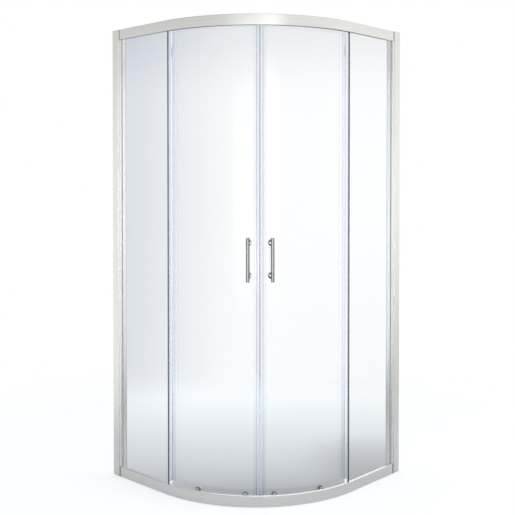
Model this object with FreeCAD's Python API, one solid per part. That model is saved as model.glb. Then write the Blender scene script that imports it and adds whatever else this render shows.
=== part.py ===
import FreeCAD, Part
import math
import os

# Quadrant shower enclosure: a corner frame of two straight sides joined by a quarter bend, two fixed
# panes, and two curved doors that roll on wheels in the bent rails. Millimetres and degrees.
#
# The left half is modelled and the right half is its mirror image in the upright plane through the
# room's corner. Three coordinates place every piece of the left half:
#   u  distance from the left wall, along the fixed pane
#   t  depth from the enclosure's outer face, towards its inside
#   z  height above the shower tray
# A piece on the bend is built at the bend's start and turned round the bend's axis to its angle.

# ---- overall sizes ----
WIDTH = 872.0                  # each wall to the outer face of the opposite side
HEIGHT = 1900.0
BEND_RADIUS = 538.0            # outer face of the rails round the doorway

# ---- glass ----
FIXED_GLASS_INSET = 10.0       # outer face of the frame to the fixed pane
FIXED_GLASS_THICKNESS = 5.0
FIXED_GLASS_PAST_BEND = 14.0   # length of flat pane beyond the start of the bend
DOOR_GLASS_THICKNESS = 5.0
DOOR_GLASS_TOP_GAP = 8.0       # below the top face of the top rail
DOOR_GLASS_BOTTOM = 20.0       # above the tray
DOOR_TAIL_START = 3.5          # trailing edge of a door, past the start of the bend
EDGE_ARRIS = 0.5               # bevel on the long edges of the fixed panes

# ---- rail sections ----
RAIL_WALL = 1.6
POCKET_WALL = 1.4
GASKET = 1.0                   # glazing gasket on each face of a fixed pane
GASKET_BEAD = 1.4              # how far a jamb gasket shows in front of the jamb
TOP_RAIL_HEIGHT = 42.0
TOP_POCKET_DEPTH = 13.0        # from the rail's underside
TOP_LEDGE_UNDERSIDE = 8.0      # track ledge above the rail's underside
TOP_WEB_DEPTH = 36.0           # outer face to the inner edge of the top web
BOTTOM_RAIL_HEIGHT = 42.5
BOTTOM_POCKET_FLOOR = 25.5     # above the tray
BOTTOM_POCKET_LEG_TOP = 40.0
BOTTOM_LEDGE_TOP = 27.2
FOOT_DEPTH = 46.0              # outer face to the inner edge of the drip foot
FOOT_UPSTAND = 7.0
LIP_WALL = 1.4
LIP_HEIGHT = 3.0               # track lip above its ledge
RAIL_EDGE_RADIUS = 2.2         # rounded long edges that show
SMALL_RADIUS = 0.6

# ---- wheels and their running room ----
WHEEL_WIDTH = 4.0
WHEEL_SIDE_PLAY = 5.5          # room each side of a wheel, as a bent door also runs on the straight
WHEEL_RUNNING_GAP = 0.3
UPPER_WHEEL_RADIUS = 10.0
LOWER_WHEEL_RADIUS = 9.0
AXLE_RADIUS = 2.5
AXLE_CLEARANCE = 0.05
AXLE_HEAD_RADIUS = 4.0
AXLE_HEAD_THICKNESS = 1.2
WHEEL_END_GAP = 0.3            # wheel to the axle's head and to its hub
DOOR_GAP = 4.7                 # track lip to the door glass
TRAILING_ROLLER_ANGLE = 16.0
LEADING_ROLLER_ANGLE = 38.5
DOOR_TRAVEL = 269.0            # along the track, from shut to fully open

# ---- roller mounts on the door glass ----
GLASS_HOLE_RADIUS = 5.5
STEM_CLEARANCE = 0.5
SEAT_GAP = 0.2                 # flat washer faces stand this far off the curved glass
STUD_RADIUS = 3.0
HUB_RADIUS = 5.2
FLANGE_LIP_CLEARANCE = 0.4     # upper mount's flange above the track's lip
FLANGE_THICKNESS = 2.4
NUT_RADIUS = 9.0
NUT_HEIGHT = 7.0
NUT_BEVEL = 2.0
NUT_CROWN = 2.4                # nut's closed end, beyond the stud
DOME_RADIUS = 11.5             # lower roller housing
DOME_THICKNESS = 9.2
DOME_BEVEL = 2.0
DOME_LIP_CLEARANCE = 0.9       # above the bottom track's lip

# ---- wall and jamb profiles ----
PROFILE_DEPTH = 46.0           # outer face of the frame to the inner face of the wall profile
WALL_PROFILE_REACH = 37.0      # off the wall
WALL_PROFILE_WALL = 1.8
PROFILE_SLIDE_GAP = 0.3        # jamb inside the wall profile
JAMB_WALL = 1.6
JAMB_BACK = 12.0               # jamb's back off the wall
JAMB_BOX_FRONT = 36.0          # end of the jamb's box part, off the wall
JAMB_NOSE_FRONT = 50.0
JAMB_POCKET_BACK = 38.0
JAMB_NOTCH_AT = 44.5           # the nose is cut back to here where the rails pass
CORNER_FLANGE = 4.0            # corner block flange between the jamb and a rail's end
SPIGOT_LENGTH = 14.0
SPIGOT_CLEARANCE = 0.25
GLASS_POCKET_GAP = 2.0         # pane edge to the back of its pocket
END_GAP = 0.4                  # ends of seals and gaskets clear of the rails

# ---- wall fixings and jamb screws ----
WALL_HOLE_RADIUS = 2.75
WALL_HOLE_END_DISTANCE = 150.0     # outer pair, from the profile's ends
WALL_HOLE_INNER_SPACING = 540.0    # inner pair, about mid height
JAMB_SCREW_END_DISTANCE = 300.0
JAMB_SCREW_RADIUS = 1.7
JAMB_SCREW_FIT = 0.05
JAMB_SCREW_LENGTH = 8.0
JAMB_SCREW_HEAD_RADIUS = 3.8
JAMB_SCREW_HEAD_HEIGHT = 1.9
JAMB_SLOT_RADIUS = 2.2
SCREW_FROM_EDGE = 9.0              # off the free edge of the wall profile's inner leg
CAP_RADIUS = 5.6
CAP_HEIGHT = 3.6
CAP_WALL = 1.1

# ---- seals ----
SEAL_WALL = 1.2
EDGE_SEAL_GRIP = 4.0               # overlap on the fixed pane's free edge
EDGE_SEAL_FIN_END = 33.0           # depth of the fin's tip
FIN_ROLLER_GAP = 0.8               # the fin starts this far above the lower roller housings
MAGNET_GRIP = 12.0                 # meeting seals: overlap on the door glass
MAGNET_WIDTH = 12.0                # and width of the magnet chamber
MAGNET_DEPTH = 12.0
MAGNET_GAP = 0.4                   # between the two meeting seals
MAGNET_LIP = 1.6                   # small fin at each corner of the chamber
TAIL_SEAL_GRIP = 16.0
TAIL_SEAL_HEEL = 3.0
TAIL_FIN_LENGTH = 12.0
WIPER_LEG = 5.0
WIPER_BOTTOM = 9.5

# ---- handles ----
HANDLE_HEIGHT = 956.0
HANDLE_LENGTH = 170.0
HANDLE_RADIUS = 7.0
HANDLE_FROM_MEETING = 44.0         # along the glass from the meeting line
HANDLE_STANDOFF = 45.0             # bar's axis off the glass
HANDLE_END_BEVEL = 0.8
POST_SPACING = 128.0
POST_RADIUS = 5.0
POST_SINK = 2.5                    # a post's end reaches this far into the bar
POST_DISC_RADIUS = 12.0
POST_DISC_THICKNESS = 4.0
WASHER_RADIUS = 11.5
WASHER_THICKNESS = 1.6
BOLT_RADIUS = 4.0
INNER_CAP_RADIUS = 12.0
INNER_CAP_HEIGHT = 8.0

# ---- travel stops ----
STOP_LENGTH = 14.0
STOP_HEIGHT = 16.0
STOP_SIDE_GAP = 0.3
STOP_WHEEL_GAP = 1.0

# ---- worked out from the sizes above ----
STRAIGHT = WIDTH - BEND_RADIUS
HALF = WIDTH / 2
POCKET_OUTER = FIXED_GLASS_INSET - GASKET
POCKET_INNER = FIXED_GLASS_INSET + FIXED_GLASS_THICKNESS + GASKET
TRACK_START = POCKET_INNER + POCKET_WALL
WHEEL_FRONT = TRACK_START + WHEEL_SIDE_PLAY
WHEEL_BACK = WHEEL_FRONT + WHEEL_WIDTH
LIP_START = WHEEL_BACK + WHEEL_SIDE_PLAY
TRACK_END = LIP_START + LIP_WALL
DOOR_OUTER = TRACK_END + DOOR_GAP
DOOR_INNER = DOOR_OUTER + DOOR_GLASS_THICKNESS
DOOR_TOP = HEIGHT - DOOR_GLASS_TOP_GAP
TOP_RAIL_BASE = HEIGHT - TOP_RAIL_HEIGHT
UPPER_LEDGE_TOP = TOP_RAIL_BASE + TOP_LEDGE_UNDERSIDE + RAIL_WALL
UPPER_WHEEL_HEIGHT = UPPER_LEDGE_TOP + WHEEL_RUNNING_GAP + UPPER_WHEEL_RADIUS
LOWER_WHEEL_HEIGHT = BOTTOM_LEDGE_TOP + WHEEL_RUNNING_GAP + LOWER_WHEEL_RADIUS
FLANGE_RADIUS = UPPER_WHEEL_RADIUS + WHEEL_RUNNING_GAP - LIP_HEIGHT - FLANGE_LIP_CLEARANCE
RAIL_START = JAMB_NOTCH_AT + CORNER_FLANGE
ROLLER_ANGLES = (TRAILING_ROLLER_ANGLE, LEADING_ROLLER_ANGLE)
MEETING_ANGLE = 45.0
MIRROR_NORMAL = FreeCAD.Vector(1, 1, 0)
CUT_PAST = 1.0                     # a cutter reaches this far past what it cuts
ORIGIN = FreeCAD.Vector(0, 0, 0)
UP = FreeCAD.Vector(0, 0, 1)


def spot(u, t, z):
    """The point at distance u from the left wall, depth t and height z."""
    return FreeCAD.Vector(u - HALF, t - HALF, z)


def plan(z):
    """A mapping that lays (u, t) corners out flat at height z."""
    return lambda u, t: spot(u, t, z)


def upright(u):
    """A mapping that stands (t, z) corners up across the frame at distance u."""
    return lambda t, z: spot(u, t, z)


def rounded(corners, place):
    """A flat face with the given corners (a, b) or (a, b, radius); a radius rounds its corner."""
    count = len(corners)
    starts, arcs, ends = [], [], []
    for index, corner in enumerate(corners):
        here = place(corner[0], corner[1])
        before = place(*corners[index - 1][:2]) - here
        after = place(*corners[(index + 1) % count][:2]) - here
        radius = corner[2] if len(corner) > 2 else 0.0
        if radius == 0.0:
            starts.append(here)
            arcs.append(None)
            ends.append(here)
            continue
        before.normalize()
        after.normalize()
        half_angle = before.getAngle(after) / 2
        middle = (before + after).normalize()
        centre = here + middle * (radius / math.sin(half_angle))
        start = here + before * (radius / math.tan(half_angle))
        end = here + after * (radius / math.tan(half_angle))
        starts.append(start)
        arcs.append(Part.Arc(start, centre - middle * radius, end).toShape())
        ends.append(end)
    edges = []
    for index in range(count):
        if arcs[index]:
            edges.append(arcs[index])
        edges.append(Part.makeLine(ends[index], starts[(index + 1) % count]))
    return Part.Face(Part.Wire(edges))


def section(outline, hollows, place):
    """A face with closed hollows, such as an extrusion's section."""
    face = rounded(outline, place)
    for hollow in hollows:
        face = face.cut(rounded(hollow, place))
    return face


def block(u0, u1, t0, t1, z0, z1):
    """A straight bar with square corners."""
    return rounded([(u0, t0), (u1, t0), (u1, t1), (u0, t1)], plan(z0)).extrude(UP * (z1 - z0))


def fused(first, *others):
    """One solid from several, with the seams between coplanar faces removed."""
    return first.fuse(list(others)).removeSplitter()


def bend_axis():
    """A point on the upright axis that the bend turns about."""
    return spot(STRAIGHT, BEND_RADIUS, 0)


def turned(shape, angle):
    """The shape moved round the bend by an angle."""
    copy = shape.copy()
    copy.rotate(bend_axis(), UP, angle)
    return copy


def bent(face, start, end):
    """A section that stands at the bend's start, swept round the bend between two angles."""
    return turned(face, start).revolve(bend_axis(), UP, end - start)


def bent_block(t0, t1, z0, z1, start, end):
    """A square-cornered bar that follows the bend."""
    face = rounded([(t0, z0), (t1, z0), (t1, z1), (t0, z1)], upright(STRAIGHT))
    return bent(face, start, end)


def angle_of(length, depth):
    """The angle that an arc of this length takes up at this depth."""
    return math.degrees(length / (BEND_RADIUS - depth))


def peg(radius, t0, t1, z, u=None):
    """A round bar that runs along t, by default at the bend's start."""
    return Part.makeCylinder(radius, t1 - t0, spot(STRAIGHT if u is None else u, t0, z), FreeCAD.Vector(0, 1, 0))


def spun(profile, z, u=None):
    """A turned piece: a (t, radius) outline spun about an axis along t, by default at the bend's start."""
    at = STRAIGHT if u is None else u
    face = rounded(profile, lambda t, radius: spot(at, t, z + radius))
    return face.revolve(spot(at, 0, z), FreeCAD.Vector(0, 1, 0), 360)


def mirrored(shape):
    """The right-hand piece of a left-hand one."""
    return shape.mirror(ORIGIN, MIRROR_NORMAL)


def save(name, shape):
    """Write one piece, or one group of like pieces, after a check that its solids are sound."""
    if not shape.isValid() or not shape.Solids:
        raise ValueError(name + " is not a sound solid")
    shape.exportStep("parts/" + name + ".step")


def save_pair(name, shape):
    """Write a left-hand piece and its mirror image."""
    save("left_" + name, shape)
    save("right_" + name, mirrored(shape))


# ---- rails ----

def top_rail_corners():
    """Outline of the top rail's section: face, glazing pocket, track ledge with its lip, and top web."""
    base = TOP_RAIL_BASE
    web = HEIGHT - RAIL_WALL
    ledge = base + TOP_LEDGE_UNDERSIDE
    return [
        (0, base, SMALL_RADIUS),
        (POCKET_OUTER, base),
        (POCKET_OUTER, base + TOP_POCKET_DEPTH),
        (POCKET_INNER, base + TOP_POCKET_DEPTH),
        (POCKET_INNER, base),
        (TRACK_START, base),
        (TRACK_START, ledge),
        (TRACK_END, ledge),
        (TRACK_END, UPPER_LEDGE_TOP + LIP_HEIGHT),
        (LIP_START, UPPER_LEDGE_TOP + LIP_HEIGHT),
        (LIP_START, UPPER_LEDGE_TOP),
        (TRACK_START, UPPER_LEDGE_TOP),
        (TRACK_START, web),
        (TOP_WEB_DEPTH, web),
        (TOP_WEB_DEPTH, HEIGHT),
        (0, HEIGHT, RAIL_EDGE_RADIUS),
    ]


def top_rail_hollow():
    """The closed chamber between the top rail's face and its glazing pocket."""
    ceiling = TOP_RAIL_BASE + TOP_POCKET_DEPTH + POCKET_WALL
    return [
        (RAIL_WALL, TOP_RAIL_BASE + RAIL_WALL),
        (POCKET_OUTER - POCKET_WALL, TOP_RAIL_BASE + RAIL_WALL),
        (POCKET_OUTER - POCKET_WALL, ceiling),
        (POCKET_INNER, ceiling),
        (POCKET_INNER, HEIGHT - RAIL_WALL),
        (RAIL_WALL, HEIGHT - RAIL_WALL),
    ]


def bottom_rail_corners():
    """Outline of the bottom rail's section: face, glazing pocket, raised track and drip foot."""
    return [
        (0, 0),
        (FOOT_DEPTH, 0),
        (FOOT_DEPTH, FOOT_UPSTAND),
        (FOOT_DEPTH - RAIL_WALL, FOOT_UPSTAND),
        (FOOT_DEPTH - RAIL_WALL, RAIL_WALL),
        (TRACK_END, RAIL_WALL),
        (TRACK_END, BOTTOM_LEDGE_TOP + LIP_HEIGHT),
        (LIP_START, BOTTOM_LEDGE_TOP + LIP_HEIGHT),
        (LIP_START, BOTTOM_LEDGE_TOP),
        (TRACK_START, BOTTOM_LEDGE_TOP),
        (TRACK_START, BOTTOM_POCKET_LEG_TOP),
        (POCKET_INNER, BOTTOM_POCKET_LEG_TOP),
        (POCKET_INNER, BOTTOM_POCKET_FLOOR),
        (POCKET_OUTER, BOTTOM_POCKET_FLOOR),
        (POCKET_OUTER, BOTTOM_RAIL_HEIGHT),
        (0, BOTTOM_RAIL_HEIGHT, RAIL_EDGE_RADIUS),
    ]


def bottom_rail_hollows():
    """The two closed chambers of the bottom rail: behind its face and under its track."""
    floor = BOTTOM_POCKET_FLOOR - POCKET_WALL
    ledge = BOTTOM_LEDGE_TOP - RAIL_WALL
    behind_face = [
        (RAIL_WALL, RAIL_WALL),
        (POCKET_INNER, RAIL_WALL),
        (POCKET_INNER, floor),
        (POCKET_OUTER - POCKET_WALL, floor),
        (POCKET_OUTER - POCKET_WALL, BOTTOM_RAIL_HEIGHT - RAIL_WALL),
        (RAIL_WALL, BOTTOM_RAIL_HEIGHT - RAIL_WALL),
    ]
    under_track = [
        (TRACK_START, RAIL_WALL),
        (LIP_START, RAIL_WALL),
        (LIP_START, ledge),
        (TRACK_START, ledge),
    ]
    return [behind_face, under_track]


def rail(outline, hollows):
    """A rail extrusion: straight, bent through a right angle and straight again."""
    face = section(outline, hollows, upright(STRAIGHT))
    left = face.extrude(FreeCAD.Vector(RAIL_START - STRAIGHT, 0, 0))
    right = mirrored(left)
    return fused(bent(face, 0, 90), left, right)


def corner_block(outline, hollows):
    """Moulded end block: a flange with the rail's outline and a spigot in each of its chambers."""
    flange = rounded(outline, upright(JAMB_NOTCH_AT)).extrude(FreeCAD.Vector(CORNER_FLANGE, 0, 0))
    spigots = []
    for hollow in hollows:
        face = rounded(hollow, upright(RAIL_START))
        wire = face.OuterWire.makeOffset2D(-SPIGOT_CLEARANCE)
        spigots.append(Part.Face(wire).extrude(FreeCAD.Vector(SPIGOT_LENGTH, 0, 0)))
    return fused(flange, *spigots)


# ---- wall side ----

def screw_heights():
    """Heights of the three screws that hold a jamb in its wall profile."""
    return (JAMB_SCREW_END_DISTANCE, HEIGHT / 2, HEIGHT - JAMB_SCREW_END_DISTANCE)


def wall_hole_heights():
    """Heights of the four wall fixings of a profile: an outer and an inner pair."""
    inner = WALL_HOLE_INNER_SPACING / 2
    return (WALL_HOLE_END_DISTANCE, HEIGHT / 2 - inner, HEIGHT / 2 + inner, HEIGHT - WALL_HOLE_END_DISTANCE)


def wall_profile():
    """Channel that is screwed to the wall and takes the jamb between its legs."""
    depth = PROFILE_DEPTH
    wall = WALL_PROFILE_WALL
    outline = [
        (0, 0, SMALL_RADIUS),
        (WALL_PROFILE_REACH, 0, SMALL_RADIUS),
        (WALL_PROFILE_REACH, wall),
        (wall, wall),
        (wall, depth - wall),
        (WALL_PROFILE_REACH, depth - wall),
        (WALL_PROFILE_REACH, depth, SMALL_RADIUS),
        (0, depth, SMALL_RADIUS),
    ]
    channel = rounded(outline, plan(0)).extrude(UP * HEIGHT)
    along_u = FreeCAD.Vector(1, 0, 0)
    for z in wall_hole_heights():
        channel = channel.cut(Part.makeCylinder(WALL_HOLE_RADIUS, wall, spot(0, depth / 2, z), along_u))
    for z in screw_heights():
        channel = channel.cut(peg(JAMB_SLOT_RADIUS, depth - wall, depth, z, WALL_PROFILE_REACH - SCREW_FROM_EDGE))
    return channel


def jamb_profile():
    """Adjusting profile: a box that slides in the wall channel, with a nose that holds the pane."""
    front = WALL_PROFILE_WALL + PROFILE_SLIDE_GAP
    back = PROFILE_DEPTH - front
    nose = POCKET_INNER + POCKET_WALL
    wall = JAMB_WALL
    outline = [
        (JAMB_BACK, front),
        (JAMB_NOSE_FRONT, front, SMALL_RADIUS),
        (JAMB_NOSE_FRONT, POCKET_OUTER, SMALL_RADIUS),
        (JAMB_POCKET_BACK, POCKET_OUTER),
        (JAMB_POCKET_BACK, POCKET_INNER),
        (JAMB_NOSE_FRONT, POCKET_INNER),
        (JAMB_NOSE_FRONT, nose, SMALL_RADIUS),
        (JAMB_BOX_FRONT, nose),
        (JAMB_BOX_FRONT, back),
        (JAMB_BACK, back),
    ]
    box_hollow = [
        (JAMB_BACK + wall, front + wall),
        (JAMB_BOX_FRONT - wall, front + wall),
        (JAMB_BOX_FRONT - wall, back - wall),
        (JAMB_BACK + wall, back - wall),
    ]
    nose_hollow = [
        (JAMB_BOX_FRONT, front + wall),
        (JAMB_NOSE_FRONT - wall, front + wall),
        (JAMB_NOSE_FRONT - wall, POCKET_OUTER - POCKET_WALL),
        (JAMB_BOX_FRONT, POCKET_OUTER - POCKET_WALL),
    ]
    jamb = section(outline, [box_hollow, nose_hollow], plan(0)).extrude(UP * HEIGHT)
    past_nose = JAMB_NOSE_FRONT + CUT_PAST
    low_notch = block(JAMB_NOTCH_AT, past_nose, 0, PROFILE_DEPTH, 0, BOTTOM_RAIL_HEIGHT + END_GAP)
    high_notch = block(JAMB_NOTCH_AT, past_nose, 0, PROFILE_DEPTH, TOP_RAIL_BASE - END_GAP, HEIGHT)
    jamb = jamb.cut([low_notch, high_notch])
    for z in screw_heights():
        hole = peg(JAMB_SCREW_RADIUS + JAMB_SCREW_FIT, back - wall, back, z, WALL_PROFILE_REACH - SCREW_FROM_EDGE)
        jamb = jamb.cut(hole)
    return jamb


def jamb_screws():
    """The screws that fix the width, each with a flat head on the wall profile's inner leg."""
    u = WALL_PROFILE_REACH - SCREW_FROM_EDGE
    screws = []
    for z in screw_heights():
        shank = peg(JAMB_SCREW_RADIUS, PROFILE_DEPTH - JAMB_SCREW_LENGTH, PROFILE_DEPTH, z, u)
        head = peg(JAMB_SCREW_HEAD_RADIUS, PROFILE_DEPTH, PROFILE_DEPTH + JAMB_SCREW_HEAD_HEIGHT, z, u)
        screws.append(fused(shank, head))
    return Part.makeCompound(screws)


def screw_caps():
    """Push-on caps over the screw heads."""
    u = WALL_PROFILE_REACH - SCREW_FROM_EDGE
    caps = []
    face = PROFILE_DEPTH
    crown = face + CAP_HEIGHT
    cup = CAP_RADIUS - CAP_WALL
    for z in screw_heights():
        caps.append(spun([
            (face, cup), (face, CAP_RADIUS), (crown - CAP_WALL, CAP_RADIUS), (crown, cup),
            (crown, 0), (crown - CAP_WALL, 0), (crown - CAP_WALL, cup),
        ], z, u))
    return Part.makeCompound(caps)


# ---- fixed panes ----

FIXED_EDGE = STRAIGHT + FIXED_GLASS_PAST_BEND
PANE_BOTTOM = BOTTOM_POCKET_FLOOR + GASKET
PANE_TOP = TOP_RAIL_BASE + TOP_POCKET_DEPTH - GASKET
PANE_INNER = FIXED_GLASS_INSET + FIXED_GLASS_THICKNESS


def fixed_glass():
    """Flat pane that runs from the jamb to just past the start of the bend."""
    start = JAMB_POCKET_BACK + GLASS_POCKET_GAP
    outline = [
        (start, FIXED_GLASS_INSET, EDGE_ARRIS),
        (FIXED_EDGE, FIXED_GLASS_INSET, EDGE_ARRIS),
        (FIXED_EDGE, PANE_INNER, EDGE_ARRIS),
        (start, PANE_INNER, EDGE_ARRIS),
    ]
    return rounded(outline, plan(PANE_BOTTOM)).extrude(UP * (PANE_TOP - PANE_BOTTOM))


def jamb_gasket():
    """Two strips that wedge the pane in the jamb's nose, each with a bead outside the pocket."""
    low = BOTTOM_RAIL_HEIGHT + END_GAP
    high = TOP_RAIL_BASE - END_GAP
    bead = JAMB_NOSE_FRONT + GASKET_BEAD
    start = JAMB_POCKET_BACK + GLASS_POCKET_GAP
    strips = [block(start, bead, POCKET_OUTER, FIXED_GLASS_INSET, low, high)]
    strips.append(block(start, bead, PANE_INNER, POCKET_INNER, low, high))
    return Part.makeCompound(strips)


def rail_gasket(low, high, closed_at):
    """Channel gasket on a pane's top or bottom edge; closed_at is the side of its web."""
    slot_low = low + GASKET if closed_at == "bottom" else low
    slot_high = high - GASKET if closed_at == "top" else high
    channel = block(RAIL_START, STRAIGHT, POCKET_OUTER, POCKET_INNER, low, high)
    return channel.cut(block(RAIL_START, STRAIGHT, FIXED_GLASS_INSET, PANE_INNER, slot_low, slot_high))


def fixed_pane_seal():
    """Clear clip on the pane's free edge, with a fin that reaches in towards the door."""
    low = BOTTOM_RAIL_HEIGHT + END_GAP
    high = TOP_RAIL_BASE - END_GAP
    end = FIXED_EDGE + SEAL_WALL
    clip = block(FIXED_EDGE - EDGE_SEAL_GRIP, end, POCKET_OUTER, POCKET_INNER, low, high)
    clip = clip.cut(block(FIXED_EDGE - EDGE_SEAL_GRIP, FIXED_EDGE, FIXED_GLASS_INSET, PANE_INNER, low, high))
    above_rollers = LOWER_WHEEL_HEIGHT + DOME_RADIUS + FIN_ROLLER_GAP
    fin = block(FIXED_EDGE, end, POCKET_INNER, EDGE_SEAL_FIN_END, above_rollers, high)
    return fused(clip, fin)


# ---- doors ----

DOOR_TAIL_ANGLE = angle_of(DOOR_TAIL_START, DOOR_OUTER)
DOOR_LEAD_ANGLE = MEETING_ANGLE - angle_of(MAGNET_WIDTH + MAGNET_GAP / 2, DOOR_OUTER)
HANDLE_ANGLE = MEETING_ANGLE - angle_of(HANDLE_FROM_MEETING, DOOR_OUTER)
POST_HEIGHTS = (HANDLE_HEIGHT - POST_SPACING / 2, HANDLE_HEIGHT + POST_SPACING / 2)
BAR_DEPTH = DOOR_OUTER - HANDLE_STANDOFF


def door_glass():
    """Curved door pane with holes for its rollers and its handle."""
    pane = bent_block(DOOR_OUTER, DOOR_INNER, DOOR_GLASS_BOTTOM, DOOR_TOP, DOOR_TAIL_ANGLE, DOOR_LEAD_ANGLE)
    holes = []
    for angle in ROLLER_ANGLES:
        for z in (LOWER_WHEEL_HEIGHT, UPPER_WHEEL_HEIGHT):
            holes.append(turned(peg(GLASS_HOLE_RADIUS, DOOR_OUTER - CUT_PAST, DOOR_INNER + CUT_PAST, z), angle))
    for z in POST_HEIGHTS:
        holes.append(turned(peg(GLASS_HOLE_RADIUS, DOOR_OUTER - CUT_PAST, DOOR_INNER + CUT_PAST, z), HANDLE_ANGLE))
    return pane.cut(holes)


def magnetic_seal():
    """Meeting seal: two legs that grip the glass and a square magnet chamber with small corner fins."""
    low = BOTTOM_RAIL_HEIGHT / 2 + END_GAP
    high = TOP_RAIL_BASE + TOP_LEDGE_UNDERSIDE
    middle = (DOOR_OUTER + DOOR_INNER) / 2
    front = middle - MAGNET_DEPTH / 2
    back = middle + MAGNET_DEPTH / 2
    grip_start = DOOR_LEAD_ANGLE - angle_of(MAGNET_GRIP, DOOR_OUTER)
    chamber_end = MEETING_ANGLE - angle_of(MAGNET_GAP / 2, DOOR_OUTER)
    wall_angle = angle_of(SEAL_WALL, DOOR_OUTER)
    outer_leg = bent_block(DOOR_OUTER - SEAL_WALL, DOOR_OUTER, low, high, grip_start, DOOR_LEAD_ANGLE)
    inner_leg = bent_block(DOOR_INNER, DOOR_INNER + SEAL_WALL, low, high, grip_start, DOOR_LEAD_ANGLE)
    chamber = bent_block(front, back, low, high, DOOR_LEAD_ANGLE, chamber_end)
    hollow_start = DOOR_LEAD_ANGLE + wall_angle
    hollow_end = chamber_end - wall_angle
    hollow = bent_block(front + SEAL_WALL, back - SEAL_WALL, low, high, hollow_start, hollow_end)
    fin_start = DOOR_LEAD_ANGLE - angle_of(MAGNET_LIP, DOOR_OUTER)
    front_fin = bent_block(front, front + SEAL_WALL, low, high, fin_start, DOOR_LEAD_ANGLE)
    back_fin = bent_block(back - SEAL_WALL, back, low, high, fin_start, DOOR_LEAD_ANGLE)
    return fused(chamber.cut(hollow), outer_leg, inner_leg, front_fin, back_fin)


def trailing_seal():
    """Seal on the trailing edge: two legs, a heel, and a fin that hooks behind the fixed pane's fin."""
    low = BOTTOM_RAIL_HEIGHT + END_GAP
    high = TOP_RAIL_BASE - END_GAP
    outer = DOOR_OUTER - SEAL_WALL
    inner = DOOR_INNER + SEAL_WALL
    grip_end = DOOR_TAIL_ANGLE + angle_of(TAIL_SEAL_GRIP, DOOR_OUTER)
    heel_start = DOOR_TAIL_ANGLE - angle_of(TAIL_SEAL_HEEL, DOOR_OUTER)
    fin_end = heel_start + angle_of(SEAL_WALL, DOOR_OUTER)
    outer_leg = bent_block(outer, DOOR_OUTER, low, high, DOOR_TAIL_ANGLE, grip_end)
    inner_leg = bent_block(DOOR_INNER, inner, low, high, DOOR_TAIL_ANGLE, grip_end)
    heel = bent_block(outer, inner, low, high, heel_start, DOOR_TAIL_ANGLE)
    fin = bent_block(outer - TAIL_FIN_LENGTH, outer, low, high, heel_start, fin_end)
    return fused(heel, outer_leg, inner_leg, fin)


def wiper_seal():
    """Strip under the door glass: a foot against its inner face and a blade over the drip foot."""
    bottom = DOOR_GLASS_BOTTOM
    blade = (DOOR_OUTER + DOOR_INNER) / 2
    outline = [
        (DOOR_OUTER, bottom - SEAL_WALL),
        (blade, bottom - SEAL_WALL),
        (blade, WIPER_BOTTOM),
        (blade + SEAL_WALL, WIPER_BOTTOM),
        (blade + SEAL_WALL, bottom - SEAL_WALL),
        (DOOR_INNER + SEAL_WALL, bottom - SEAL_WALL),
        (DOOR_INNER + SEAL_WALL, bottom + WIPER_LEG),
        (DOOR_INNER, bottom + WIPER_LEG),
        (DOOR_INNER, bottom),
        (DOOR_OUTER, bottom),
    ]
    grip_start = DOOR_LEAD_ANGLE - angle_of(MAGNET_GRIP + END_GAP, DOOR_OUTER)
    return bent(rounded(outline, upright(STRAIGHT)), DOOR_TAIL_ANGLE, grip_start)


def axle(z, hub_end, hub_radius):
    """Pin with its head in the wheel's recess, and the hub that stands off the door glass."""
    head = WHEEL_FRONT + WHEEL_END_GAP / 2
    neck = head + AXLE_HEAD_THICKNESS
    hub = WHEEL_BACK + WHEEL_END_GAP
    return spun([
        (head, 0), (head, AXLE_HEAD_RADIUS), (neck, AXLE_HEAD_RADIUS), (neck, AXLE_RADIUS),
        (hub, AXLE_RADIUS), (hub, hub_radius), (hub_end, hub_radius), (hub_end, 0),
    ], z)


def stem(z):
    """The part of a roller mount that passes through the glass, with the stud for its nut."""
    shoulder = DOOR_INNER + SEAT_GAP
    through = GLASS_HOLE_RADIUS - STEM_CLEARANCE
    end = shoulder + NUT_HEIGHT - NUT_CROWN
    flange_face = DOOR_OUTER - SEAT_GAP
    return spun([
        (flange_face, 0), (flange_face, through), (shoulder, through), (shoulder, STUD_RADIUS),
        (end, STUD_RADIUS), (end, 0),
    ], z)


def upper_roller_mount():
    """Upper roller mount: axle, hub with a round flange on the glass, and stem."""
    z = UPPER_WHEEL_HEIGHT
    flange_face = DOOR_OUTER - SEAT_GAP
    flange = peg(FLANGE_RADIUS, flange_face - FLANGE_THICKNESS, flange_face, z)
    return fused(axle(z, flange_face, HUB_RADIUS), flange, stem(z))


def lower_roller_mount():
    """Lower roller mount: the same axle and stem on a domed housing, cut flat above the track's lip."""
    z = LOWER_WHEEL_HEIGHT
    face = DOOR_OUTER - SEAT_GAP
    crown = face - DOME_THICKNESS
    dome = spun([
        (crown, 0), (crown, DOME_RADIUS - DOME_BEVEL), (crown + DOME_BEVEL, DOME_RADIUS),
        (face, DOME_RADIUS), (face, 0),
    ], z)
    flat = BOTTOM_LEDGE_TOP + LIP_HEIGHT + DOME_LIP_CLEARANCE
    reach = 2 * DOME_RADIUS
    under = block(STRAIGHT - reach, STRAIGHT + reach, crown - CUT_PAST, face + CUT_PAST, 0, flat)
    return fused(axle(z, face, HUB_RADIUS).cut(under), dome.cut(under), stem(z))


def roller_nut(z):
    """Domed nut on the inner face of the door glass."""
    face = DOOR_INNER + SEAT_GAP
    stud_end = face + NUT_HEIGHT - NUT_CROWN + AXLE_CLEARANCE
    bore = STUD_RADIUS + AXLE_CLEARANCE
    return spun([
        (face, bore), (face, NUT_RADIUS), (face + NUT_HEIGHT - NUT_BEVEL, NUT_RADIUS),
        (face + NUT_HEIGHT, NUT_RADIUS - NUT_BEVEL), (face + NUT_HEIGHT, 0), (stud_end, 0), (stud_end, bore),
    ], z)


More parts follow.
